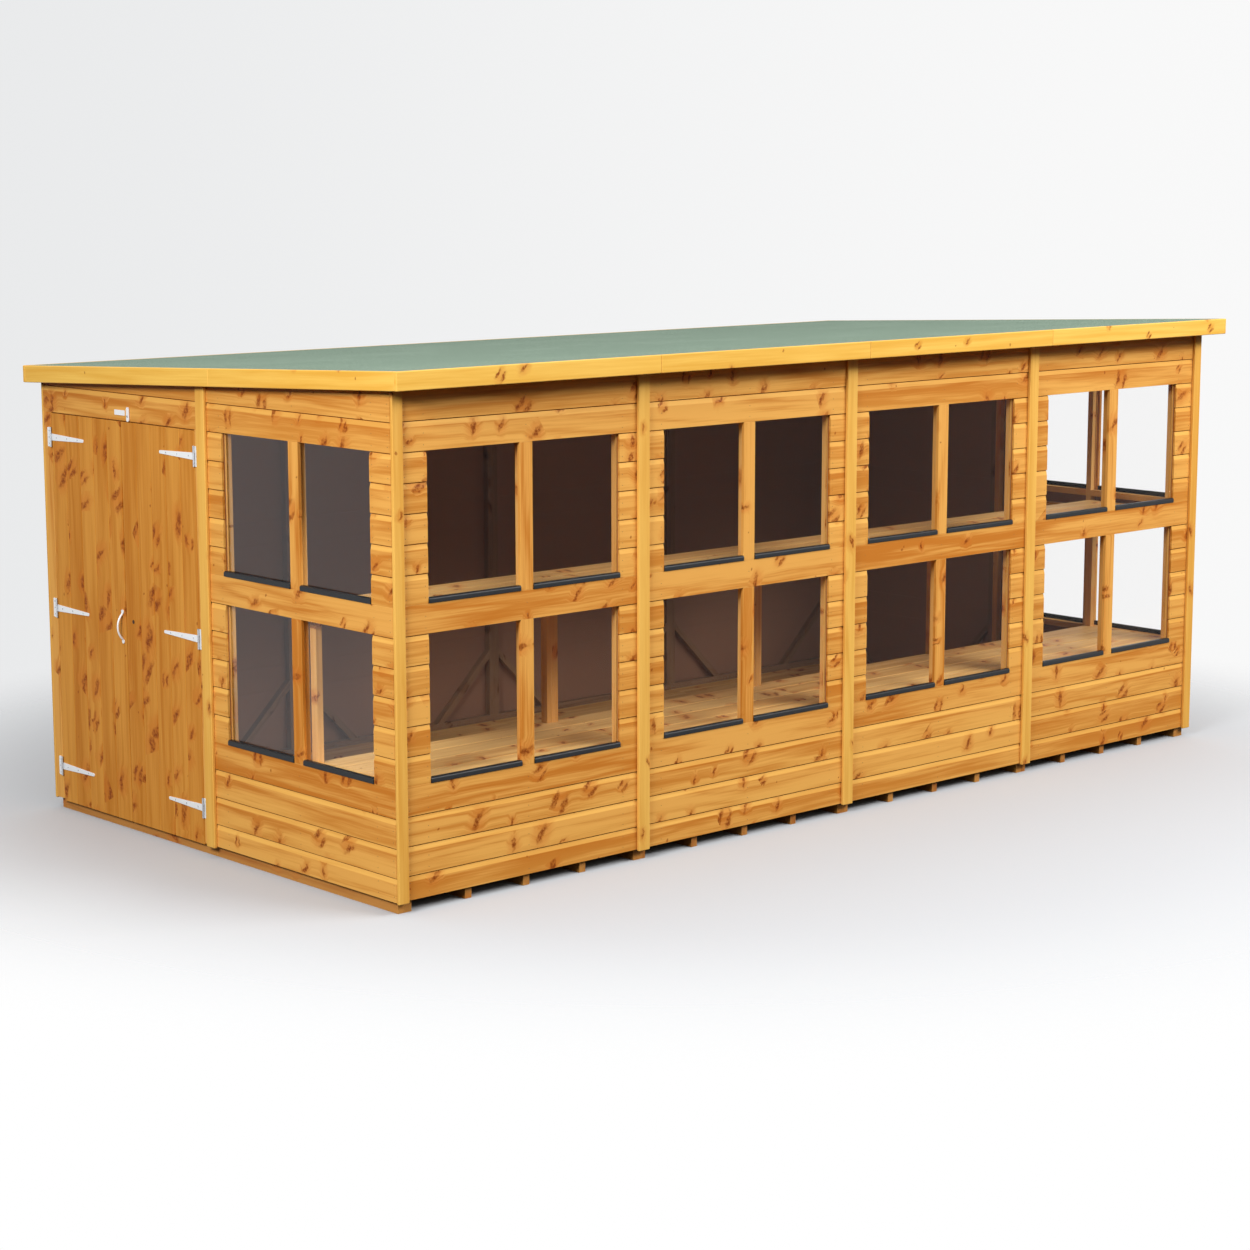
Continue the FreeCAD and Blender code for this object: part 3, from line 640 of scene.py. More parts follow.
@dataclass(frozen=True)
class Metal(Finish):
    """Plated or enamelled metal with a faint mottle."""

    base: Colour
    worn: Colour
    metallic: float
    roughness: float
    mottle: float = 140.0
    worn_fade: Span = (0.42, 0.72)
    relief: float = 0.12
    relief_depth: float = 0.0004

    def draw(self, graph: Graph) -> Material:
        """Draws the mottle of the coat and its small unevenness.

        Args:
            graph: The material being drawn.

        Returns:
            The finished material.
        """
        place = graph.place()
        mottle = graph.noise(place, self.mottle, 3.0, 0.6)
        coat = graph.mix(graph.fade(mottle, *self.worn_fade), self.base, self.worn)
        return graph.coat({
            "Base Color": coat,
            "Metallic": self.metallic,
            "Roughness": self.roughness,
            "Normal": graph.bump(mottle, self.relief, self.relief_depth),
        })


@dataclass(frozen=True)
class Plastic(Finish):
    """Dark drawn plastic with faint die lines and dust."""

    base: Colour
    dusty: Colour
    roughness: float = 0.38
    gloss: float = 0.3
    dust_stretch: Triple = (30.0, 30.0, 260.0)
    dust_fade: Span = (0.45, 0.8)
    dust_strength: float = 0.6
    relief: float = 0.1
    relief_depth: float = 0.0004

    def draw(self, graph: Graph) -> Material:
        """Draws a little dust over the plain colour.

        Args:
            graph: The material being drawn.

        Returns:
            The finished material.
        """
        place = graph.place()
        dust = graph.noise(graph.vector("MULTIPLY", place, self.dust_stretch), 1.0, 3.0, 0.6)
        share = graph.scaled(graph.fade(dust, *self.dust_fade), self.dust_strength)
        colour = graph.mix(share, self.base, self.dusty)
        return graph.coat({
            "Base Color": colour,
            "Roughness": self.roughness,
            "Specular IOR Level": self.gloss,
            "Normal": graph.bump(dust, self.relief, self.relief_depth),
        })


@dataclass(frozen=True)
class Glazing(Finish):
    """Clear horticultural glass, which lets the lamps' light through."""

    tint: Colour
    index: float
    roughness: float = 0.0

    def draw(self, graph: Graph) -> Material:
        """Draws glass that casts no shadow and lets bounced light straight through.

        Args:
            graph: The material being drawn.

        Returns:
            The finished material.
        """
        glass = graph.add("ShaderNodeBsdfPrincipled", {
            "Base Color": self.tint,
            "Roughness": self.roughness,
            "IOR": self.index,
            "Transmission Weight": 1.0,
        })
        open_air = graph.add("ShaderNodeBsdfTransparent", {"Color": self.tint})
        path = graph.add("ShaderNodeLightPath", {}).outputs
        light = graph.sum("MAXIMUM", path["Is Shadow Ray"], path["Is Diffuse Ray"])
        shader = graph.add("ShaderNodeMixShader", {0: light, 1: glass.outputs[0], 2: open_air.outputs[0]})
        return graph.close(shader.outputs[0])


# Colour of the painted highlight on coves and rounded edges
EDGE_HIGHLIGHT_WOOD = shown(248, 194, 98)

BOARD_WOOD = Softwood("board_wood", shown(234, 170, 84), shown(200, 121, 40), EDGE_HIGHLIGHT_WOOD, figure=1.7)
DOOR_WOOD = Softwood(
    "door_wood", shown(222, 154, 66), shown(190, 114, 30), EDGE_HIGHLIGHT_WOOD, knot_share=0.45, knot_size=0.038,
    knot_lean=-0.5, figure=0.95, paint=0.8
)
STRIP_WOOD = Softwood(
    "strip_wood", shown(242, 188, 92), shown(222, 156, 62), EDGE_HIGHLIGHT_WOOD, knot_share=0.25, knot_size=0.02,
    knot_lean=0.0
)
FASCIA_WOOD = Softwood(
    "fascia_wood", shown(250, 202, 98), shown(232, 172, 66), EDGE_HIGHLIGHT_WOOD, knot_share=0.25, knot_size=0.016
)
FRAME_WOOD = Softwood(
    "frame_wood", shown(230, 178, 104), shown(200, 136, 62), EDGE_HIGHLIGHT_WOOD, knot_share=0.35, knot_lean=0.0
)
SHADED_WOOD = Softwood(
    "shaded_wood", shown(152, 118, 88), shown(120, 90, 66), EDGE_HIGHLIGHT_WOOD, shown(130, 92, 64),
    shown(102, 68, 44), shown(82, 52, 32), knot_share=0.35, knot_lean=0.0, paint=0.1
)
JOIST_WOOD = Softwood(
    "joist_wood", shown(204, 142, 72), shown(170, 100, 42), EDGE_HIGHLIGHT_WOOD, knot_share=0.35, knot_lean=0.0
)
SHELF_WOOD = Softwood("shelf_wood", shown(234, 192, 122), shown(202, 146, 78), EDGE_HIGHLIGHT_WOOD, knot_share=0.4)
ROOF_FELT = Felt("green_felt", shown(119, 141, 122), shown(149, 169, 151), shown(90, 112, 95))
SILL_PLASTIC = Plastic("slate_plastic", shown(22, 25, 28), shown(34, 38, 43), 0.36)
CLEAR_GLASS = Glazing("clear_glass", shown(255, 255, 255), 1.15)
VEILED_GLASS = Glazing("veiled_glass", shown(255, 255, 255), 1.32)
WHITE_METAL = Metal("white_metal", shown(236, 238, 239), shown(206, 211, 214), 0.35, 0.34)
DARK_BRASS = Metal("dark_brass", shown(96, 60, 28), shown(62, 38, 18), 0.5, 0.5)
ZINC = Metal("zinc_plate", shown(196, 199, 202), shown(160, 164, 170), 1.0, 0.42)
NAIL_STEEL = Metal("nail_steel", shown(150, 112, 66), shown(110, 80, 48), 0.4, 0.5)
# Painted shade: near black for the shallow keyhole, standing for the shade in a deep hole
KEYHOLE_DARK = Plastic("keyhole_dark", shown(22, 20, 18), shown(34, 30, 27), 0.7)


def dress(piece: Piece, finish: Finish, body: str, slot: str, *nodes: str) -> None:
    """Gives a finished piece its material and its body, and hides the nodes that it stands for.

    Args:
        piece: The piece, at the origin.
        finish: Its finish.
        body: The body that it moves with.
        slot: The record's material slot. Not used.
        nodes: The nodes that it stands for.
    """
    if not piece.data.materials:
        piece.data.materials.append(finish.material())
    bpy.ops.object.select_all(action="DESELECT")
    bpy.context.view_layer.objects.active = piece
    piece.select_set(True)
    bpy.ops.object.shade_smooth_by_angle(angle=SMOOTH_ANGLE)
    bpy.ops.object.modifier_add(type="WEIGHTED_NORMAL")
    even = piece.modifiers[-1]
    even.keep_sharp = True
    bpy.ops.object.modifier_apply(modifier=even.name)
    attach(piece, body)
    if nodes:
        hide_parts(*nodes)
    log.info("%s: %d faces on %s", piece.name, len(piece.data.polygons), body)


# The shed's outline


@dataclass(frozen=True)
class Plan:
    """The shed's outline, read from the frame, and the sizes that its panels share."""

    left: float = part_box("corner_strips")[0].x
    right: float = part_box("corner_strips")[1].x
    front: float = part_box("front_cladding_1")[0].y
    back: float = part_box("back_cladding_1")[1].y
    floor_top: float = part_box("floor_boards")[1].z
    cladding: float = 0.015
    wall: float = 0.050
    stud: float = 0.030
    roof_sheet: float = 0.012
    front_panels: int = 4
    first_edge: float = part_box("front_cladding_1")[0].z
    bottom_board: float = 0.095
    board: float = 0.114
    pane: float = 0.448
    mullion: float = 0.064
    glass_clearance: float = 0.001
    sill_rows: tuple[int, ...] = (4, 10)
    pane_rows: int = 5

    def row_edge(self, count: int) -> float:
        """Height of the lower edge of a row of boards, counted from 0."""
        return self.first_edge + (self.bottom_board + (count - 1) * self.board if count else 0.0)

    def roof(self, y: float) -> float:
        """Height of the roof's underside at a depth."""
        low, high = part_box("roof_boards")
        fall = (high.z - self.roof_sheet - low.z) / (high.y - low.y)
        return low.z + fall * (high.y - y)

    def head_row(self) -> int:
        """The first row of boards over the upper panes and the doors."""
        return self.sill_rows[-1] + self.pane_rows

    def beside_panes(self, row: int) -> bool:
        """Says whether the panes cut a row of boards short."""
        return any(sill <= row < sill + self.pane_rows for sill in self.sill_rows)

    def tiers(self) -> list[Span]:
        """Heights of the lower and the upper tier of panes."""
        return [(self.row_edge(row), self.row_edge(row + self.pane_rows)) for row in self.sill_rows]

    def panel(self) -> float:
        """Width of one front panel."""
        return (self.right - self.left - 2 * self.wall) / self.front_panels

    def joints(self) -> list[float]:
        """Places of the front panels' ends along the front wall."""
        return [self.wall + count * self.panel() for count in range(self.front_panels + 1)]

    def lengths(self, ends: Span) -> list[Span]:
        """Lengths along the shed, which meet at the panel joints."""
        places = [ends[0], *[self.left + along for along in self.joints()[1:-1]], ends[1]]
        return list(zip(places, places[1:]))


@dataclass(frozen=True)
class Wall:
    """A wall seen from outside: x runs along it to the right, y inwards and z up."""

    corner: Point
    turn: float
    start_top: float
    end_top: float
    length: float

    def matrix(self) -> Matrix:
        """The wall's own frame in the shed's."""
        place = Matrix.Translation((self.corner[0], self.corner[1], 0.0))
        return place @ Matrix.Rotation(math.radians(self.turn), 4, "Z")

    def top(self, along: float) -> float:
        """Height of the wall's top line at a place along it."""
        return self.start_top + (self.end_top - self.start_top) * along / self.length

    def box(self, node: str) -> tuple[Vector, Vector]:
        """A node's lowest and highest corners in the wall's own frame.

        Args:
            node: The node's name.

        Returns:
            The lowest and the highest corner.
        """
        inverse = self.matrix().inverted()
        ends = [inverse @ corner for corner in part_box(node)]
        low = Vector(min(pair) for pair in zip(*ends))
        high = Vector(max(pair) for pair in zip(*ends))
        return low, high


PLAN = Plan()
DEPTH = PLAN.back - PLAN.front
LENGTH = PLAN.right - PLAN.left
FRONT_TOP = PLAN.roof(PLAN.front + PLAN.wall)
ROOF_HIGH = PLAN.roof(PLAN.front)
ROOF_LOW = PLAN.roof(PLAN.back)
FRONT = Wall((PLAN.left, PLAN.front), 0.0, FRONT_TOP, FRONT_TOP, LENGTH)
BACK = Wall((PLAN.right, PLAN.back), 180.0, ROOF_LOW, ROOF_LOW, LENGTH)
LEFT = Wall((PLAN.left, PLAN.back), -90.0, ROOF_LOW, ROOF_HIGH, DEPTH)
RIGHT = Wall((PLAN.right, PLAN.front), 90.0, ROOF_HIGH, ROOF_LOW, DEPTH)


class Kind(Enum):
    """What a panel holds."""

    WINDOW = "panes"
    PLAIN = "boards alone"
    DOOR = "the doors"


@dataclass(frozen=True)
class Panel:
    """One panel of a wall, from a start to an end along it."""

    wall: Wall
    start: float
    end: float
    kind: Kind
    label: str  # the name of its nodes, with a gap for the part

    def node(self, part: str) -> str:
        """Name of the node that holds the panel's cladding or its frame."""
        return self.label.format(part)

    def middle(self) -> float:
        """The panel's middle along the wall."""
        return (self.start + self.end) / 2

    def openings(self) -> list[Span]:
        """The pane openings each side of the mullion."""
        inner = PLAN.mullion / 2
        outer = inner + PLAN.pane
        middle = self.middle()
        return [(middle - outer, middle - inner), (middle + inner, middle + outer)]

    def seats(self) -> list[Span]:
        """The places between the studs where the panes sit."""
        half = PLAN.stud / 2
        left, right = self.openings()
        return [(left[0], self.middle() - half), (self.middle() + half, right[1])]


END_JOINT = DEPTH / 2
LONG_SPANS = list(enumerate(zip(PLAN.joints(), PLAN.joints()[1:]), start=1))
FRONT_PANELS = [Panel(FRONT, *span, Kind.WINDOW, f"front_{{}}_{number}") for number, span in LONG_SPANS]
BACK_PANELS = [Panel(BACK, *span, Kind.PLAIN, f"back_{{}}_{number}") for number, span in LONG_SPANS]
LEFT_WINDOW = Panel(LEFT, END_JOINT, DEPTH, Kind.WINDOW, "left_window_{}")
LEFT_DOOR = Panel(LEFT, 0.0, END_JOINT, Kind.DOOR, "door_panel_{}")
RIGHT_WINDOW = Panel(RIGHT, 0.0, END_JOINT, Kind.WINDOW, "right_window_{}")
RIGHT_PLAIN = Panel(RIGHT, END_JOINT, DEPTH, Kind.PLAIN, "right_plain_{}")
PANELS = [*FRONT_PANELS, *BACK_PANELS, LEFT_WINDOW, LEFT_DOOR, RIGHT_WINDOW, RIGHT_PLAIN]


# Timber cut to size


class Section(Enum):
    """Shapes that timber, glass and sheet come in."""

    SHIPLAP = "shiplap"
    FLAT = "flat"
    EASED = "eased"
    PLANED = "planed"
    TONGUED = "tongued"
    SILL = "sill"
    GLASS = "glass"


class Grain(Enum):
    """Which way a board's grain runs: the order of length, width and depth among x, y and z."""

    ALONG = (0, 2, 1)
    UP = (2, 0, 1)
    THROUGH = (1, 2, 0)
    LYING = (0, 1, 2)


@dataclass
class Yard:
    """Machines one length of each section, and cuts copies of it to size."""

    cove_height: float = 0.024
    cove_depth: float = 0.005
    cove_steps: int = 7
    cove_power: float = 0.9
    slit: float = 0.0065
    slit_shade: float = -0.35
    # Painted highlight over the lower half of a shiplap board, beside the full one in its cove
    low_highlight: float = 0.4
    tongue_face: float = 0.009
    eased_edge: float = 0.0015
    planed_edge: float = 0.004
    vee: float = 0.0035
    sill_depth: float = 0.020
    sill_height: float = 0.021
    sill_round: float = 0.008
    glass: float = 0.003
    glass_edge: float = 0.0005
    lying_blank: Triple = (1.0, 0.02, 0.1)
    upright_blank: Triple = (0.1, 0.014, 1.0)
    grain_spread: float = 40.0
    draws: random.Random = field(default_factory=lambda: random.Random(SEED))
    lengths: dict[Section, Piece] = field(default_factory=dict)
    sizes: dict[Section, Vector] = field(default_factory=dict)

    def __post_init__(self) -> None:
        """Machines every section once."""
        blanks = {
            Section.SHIPLAP: (1.0, PLAN.cladding, PLAN.board),
            Section.FLAT: self.lying_blank,
            Section.EASED: self.lying_blank,
            Section.PLANED: self.lying_blank,
            Section.TONGUED: self.upright_blank,
            Section.SILL: (1.0, self.sill_depth, self.sill_height),
            Section.GLASS: (1.0, self.glass, 1.0),
        }
        machines = {
            Section.SHIPLAP: self.machine_shiplap,
            Section.TONGUED: self.machine_tongued,
            Section.SILL: self.machine_sill,
        }
        # Width and steps of the rounding for sections that are eased all round
        roundings = {
            Section.FLAT: (self.eased_edge, 2),
            Section.EASED: (self.eased_edge, 2),
            Section.PLANED: (self.planed_edge, 3),
            Section.GLASS: (self.glass_edge, 1),
        }
        for section, blank in blanks.items():
            size = Vector(blank)
            piece = block(section.value, Vector(), size)
            with editing(piece):
                if section in machines:
                    machines[section](piece, size)
                else:
                    pick_all()
                    ease(*roundings[section])
            self.mark_painted_light(section, piece, size)
            bpy.context.collection.objects.unlink(piece)
            self.lengths[section] = piece
            self.sizes[section] = size

    def mark_painted_light(self, section: Section, piece: Piece, size: Vector) -> None:
        """Marks a length's painted highlight, on its cove, rounded edges and lower half, and its painted
        shade, in its slit and on its back.

        Args:
            section: The section that the length is of.
            piece: The machined length.
            size: The blank's size.
        """
        points = read_points(piece)
        if section is Section.SHIPLAP:
            cove_foot = size.z - self.cove_height
            # Painted highlight: full in the cove, fainter over the lower half of the board
            painted_light = np.where(points[:, 2] < size.z / 2, self.low_highlight, points[:, 2] > cove_foot + TOUCH)
        else:
            flat = (np.abs(points) < TOUCH) | (np.abs(points - np.array(size)) < TOUCH)
            # Painted highlight on the rounded edges
            painted_light = np.where(flat.any(axis=1), 0.0, 1.0)
        if section in (Section.SHIPLAP, Section.FLAT):
            painted_light = np.where(points[:, 1] > self.cove_depth - TOUCH, 0.0, painted_light)
            # Painted shade in the slit over the cove
            slit = (points[:, 2] > size.z - self.slit - TOUCH) & (points[:, 1] > self.cove_depth - TOUCH)
            painted_light = np.where(slit, self.slit_shade, painted_light)
            # Painted shade on the back
            painted_light = np.where(points[:, 1] > self.tongue_face + TOUCH, -1.0, painted_light)
        layer = piece.data.attributes.new("edge", "FLOAT", "POINT")
        layer.data.foreach_set("value", painted_light.astype(np.float32))

    def machine_shiplap(self, piece: Piece, size: Vector) -> None:
        """Hollows the upper edge of a board, leaves a slit above it and eases its lower edge.

        Args:
            piece: The blank, open in edit mode.
            size: The blank's size.
        """
        for step in range(self.cove_steps):
            level = size.z - self.cove_height * (1 - step / self.cove_steps)
            pick_all()
            bpy.ops.mesh.bisect(plane_co=(0, 0, level), plane_no=(0, 0, 1))
        pick_all()
        bpy.ops.mesh.bisect(plane_co=(0, self.tongue_face, 0), plane_no=(0, 1, 0))
        for step in range(1, self.cove_steps + 1):
            share = step / self.cove_steps
            level = size.z - self.cove_height * (1 - share)
            pick(piece, Element.CORNER, lambda at, z=level: near(at.y, 0) and near(at.z, z))
            bpy.ops.transform.translate(value=(0, self.cove_depth * share ** self.cove_power, 0))
        pick(piece, Element.CORNER, lambda at: near(at.y, self.cove_depth) and near(at.z, size.z))
        bpy.ops.transform.translate(value=(0, 0, -self.slit))
        pick(piece, Element.EDGE, lambda at: near(at.y, 0) and near(at.z, 0))
        ease(self.eased_edge, 2)

    def machine_tongued(self, piece: Piece, size: Vector) -> None:
        """Cuts a vee down both front edges of an upright board.

        Args:
            piece: The blank, open in edit mode.
            size: The blank's size.
        """
        for side in (0.0, size.x):
            pick(piece, Element.EDGE, lambda at, x=side: near(at.y, 0) and near(at.x, x))
            ease(self.vee, 2)

    def machine_sill(self, piece: Piece, size: Vector) -> None:
        """Rounds the upper front edge of a sill and eases the lower one.

        Args:
            piece: The blank, open in edit mode.
            size: The blank's size.
        """
        pick(piece, Element.EDGE, lambda at: near(at.y, 0) and near(at.z, size.z))
        ease(self.sill_round, 6)
        pick(piece, Element.EDGE, lambda at: near(at.y, 0) and near(at.z, 0))
        ease(self.eased_edge, 2)

    def cut(self, section: Section, outline: Outline, front: float, back: float) -> Piece:
        """Cuts a copy of a section to an outline, with its machined edges at their true size.

        Args:
            section: The section to cut from.
            outline: Four (x, z) corners, anticlockwise from the low left one.
            front: Where its face lies in y.
            back: Where its back lies in y.

        Returns:
            The cut part.
        """
        piece = copied(self.lengths[section], section.value, Matrix.Identity(4))
        size = self.sizes[section]
        points = read_points(piece)
        right = points[:, 0] > size.x / 2
        deep = points[:, 1] > size.y / 2
        high = points[:, 2] > size.z / 2
        corner = np.where(high, np.where(right, 2, 3), np.where(right, 1, 0))
        target = np.array(outline)[corner]
        points[:, 0] += target[:, 0] - right * size.x
        points[:, 1] += np.where(deep, back - size.y, front)
        points[:, 2] += target[:, 1] - high * size.z
        piece.data.vertices.foreach_set("co", points.ravel())
        piece.data.update()
        return piece

    def grow(self, piece: Piece, grain: Grain, slope: float = 0.0) -> Piece:
        """Gives a board a grain and a tone of its own.

        Args:
            piece: The board, before it goes to its place.
            grain: Which way its grain runs.
            slope: How far the grain is turned in the face, in radians.

        Returns:
            The board.
        """
        points = read_points(piece)
        along = points[:, 0] * math.cos(slope) + points[:, 2] * math.sin(slope)
        points[:, 2] = points[:, 2] * math.cos(slope) - points[:, 0] * math.sin(slope)
        points[:, 0] = along
        shift = [self.draws.uniform(0, self.grain_spread) for axis in range(3)]
        tone = self.draws.random()
        grown = points[:, list(grain.value)] + np.array(shift)
        layer = piece.data.attributes.new("grain", "FLOAT_VECTOR", "POINT")
        layer.data.foreach_set("vector", grown.ravel().astype(np.float32))
        layer = piece.data.attributes.new("tone", "FLOAT", "POINT")
        layer.data.foreach_set("value", np.full(len(points), tone, dtype=np.float32))
        return piece

    def timber(self, wall: Wall, outline: Outline, depth: Span, grain: Grain, slope: float = 0.0,
               section: Section = Section.EASED) -> Piece:
        """Cuts a timber and puts it in its place in a wall.

        Args:
            wall: The wall whose frame the sizes are in.
            outline: Four (along, height) corners.
            depth: Where its face and its back lie, inwards from the wall's face.
            grain: Which way its grain runs.
            slope: How far the grain is turned in the face, in radians.
            section: The section to cut from.

        Returns:
            The timber in its place.
        """
        piece = self.grow(self.cut(section, outline, *depth), grain, slope)
        piece.data.transform(wall.matrix())
        return piece

    def clear(self) -> None:
        """Puts the machined lengths away."""
        for piece in self.lengths.values():
            bpy.data.objects.remove(piece)


def read_points(piece: Piece) -> np.ndarray:
    """Reads a mesh's vertices.

    Args:
        piece: The mesh object.

    Returns:
        One row of x, y and z for each vertex.
    """
    points = np.empty(len(piece.data.vertices) * 3)
    piece.data.vertices.foreach_get("co", points)
    return points.reshape(-1, 3)


# Sub-assemblies


@dataclass
class Cladding:
    """Rows of boards over the panels, with the nails that hold them."""

    yard: Yard
    door_post: float = 0.060
    nail_rises: tuple[float, ...] = (0.022, 0.066)
    nail_radius: float = 0.0016
    nail_proud: float = 0.0004
    nails: list[Vector] = field(default_factory=list)

    def board(self, wall: Wall, span: Span, row: int, fixings: list[float]) -> Piece:
        """Makes one board of a row, cut to the wall's top line where it reaches it.

        Args:
            wall: The wall that the board is on.
            span: The board's ends along the wall.
            row: The row, counted from 0 at the bottom.
            fixings: Places along the wall where studs take its nails.

        Returns:
            The board.
        """
        low = PLAN.row_edge(row)
        high = PLAN.row_edge(row + 1)
        section = Section.FLAT if row + 1 in PLAN.sill_rows else Section.SHIPLAP
        piece = self.yard.cut(section, rectangle(span, (low, high)), 0.0, PLAN.cladding)
        tops = [wall.top(along) for along in span]
        if high > min(tops):
            rise = (tops[1] - tops[0]) / (span[1] - span[0])
            trim(piece, Vector((span[0], 0.0, tops[0])), Vector((-rise, 0.0, 1.0)))
        self.yard.grow(piece, Grain.ALONG)
        piece.data.transform(wall.matrix())
        for along in fixings:
            for rise in self.nail_rises:
                if span[0] < along < span[1] and low + rise < wall.top(along):
                    self.nails.append(wall.matrix() @ Vector((along, 0.0, low + rise)))
        return piece

    def rows(self, wall: Wall, span: Span, first: int, fixings: list[float]) -> list[Piece]:
        """Makes the rows from one up to the wall's top.

        Args:
            wall: The wall that the boards are on.
            span: The boards' ends along the wall.
            first: The first row.
            fixings: Places along the wall where studs take the nails.

        Returns:
            The boards.
        """
        boards = []
        row = first
        while PLAN.row_edge(row) < max(wall.top(span[0]), wall.top(span[1])):
            boards.append(self.board(wall, span, row, fixings))
            row += 1
        return boards

    def window_panel(self, panel: Panel) -> list[Piece]:
        """Makes the boards round a panel's four panes.

        Args:
            panel: The window panel.

        Returns:
            The boards and the two mullions.
        """
        wall = panel.wall
        whole = (panel.start, panel.end)
        left, right = panel.openings()
        half = PLAN.stud / 2
        jambs = [left[0] - half, right[1] + half]
        fixings = [panel.start + half, *jambs, panel.end - half]
        boards = []
        for row in range(PLAN.head_row()):
            if PLAN.beside_panes(row):
                boards.append(self.board(wall, (panel.start, left[0]), row, fixings))
                boards.append(self.board(wall, (right[1], panel.end), row, fixings))
            else:
                boards.append(self.board(wall, whole, row, fixings + [panel.middle()]))
        boards += self.rows(wall, whole, PLAN.head_row(), fixings + [panel.middle()])
        for tier in PLAN.tiers():
            outline = rectangle((left[1], right[0]), tier)
            boards.append(self.yard.timber(wall, outline, (0.0, PLAN.cladding), Grain.UP))
        return boards

    def plain_panel(self, panel: Panel) -> list[Piece]:
        """Makes a panel that is boarded from top to bottom.

        Args:
            panel: The plain panel.

        Returns:
            The boards.
        """
        half = PLAN.stud / 2
        fixings = [panel.start + half, panel.end - half]
        return self.rows(panel.wall, (panel.start, panel.end), 0, fixings)

    def door_panel(self, panel: Panel) -> list[Piece]:
        """Makes the post boards beside the doors and the boards over them.

        Args:
            panel: The door panel.

        Returns:
            The boards.
        """
        half = PLAN.stud / 2
        head = PLAN.row_edge(PLAN.head_row())
        posts = [(panel.start, panel.start + self.door_post), (panel.end - self.door_post, panel.end)]
        boards = []
        for post in posts:
            outline = rectangle(post, (PLAN.first_edge, head))
            boards.append(self.yard.timber(LEFT, outline, (0.0, PLAN.cladding), Grain.UP))
        fixings = [panel.start + half, panel.end - half]
        return boards + self.rows(LEFT, (panel.start, panel.end), PLAN.head_row(), fixings)

    def nail_heads(self) -> Piece:
        """Drives a small flat head at every nail's place.

        Returns:
            All the nail heads as one piece.
        """
        heads = []
        for wall in (FRONT, BACK, LEFT, RIGHT):
            inward = (wall.matrix().to_3x3() @ Vector((0, 1, 0))) * self.nail_proud
            head = rod("nail", -inward, inward, self.nail_radius, sides=8)
            level = wall.matrix().inverted()
            places = [place for place in self.nails if near((level @ place).y, 0)]
            heads += [copied(head, "nail", Matrix.Translation(place)) for place in places]
            bpy.data.objects.remove(head)
        return joined("cladding_nails", heads)

    def build(self) -> None:
        """Builds and dresses the cladding of every panel."""
        makers = {Kind.WINDOW: self.window_panel, Kind.PLAIN: self.plain_panel, Kind.DOOR: self.door_panel}
        clad = [(panel.node("cladding"), makers[panel.kind](panel)) for panel in PANELS]
        for node, boards in clad:
            dress(joined(f"{node}_boards", boards), BOARD_WOOD, "shed", "board_timber", node)
        dress(self.nail_heads(), NAIL_STEEL, "shed", "zinc_steel")


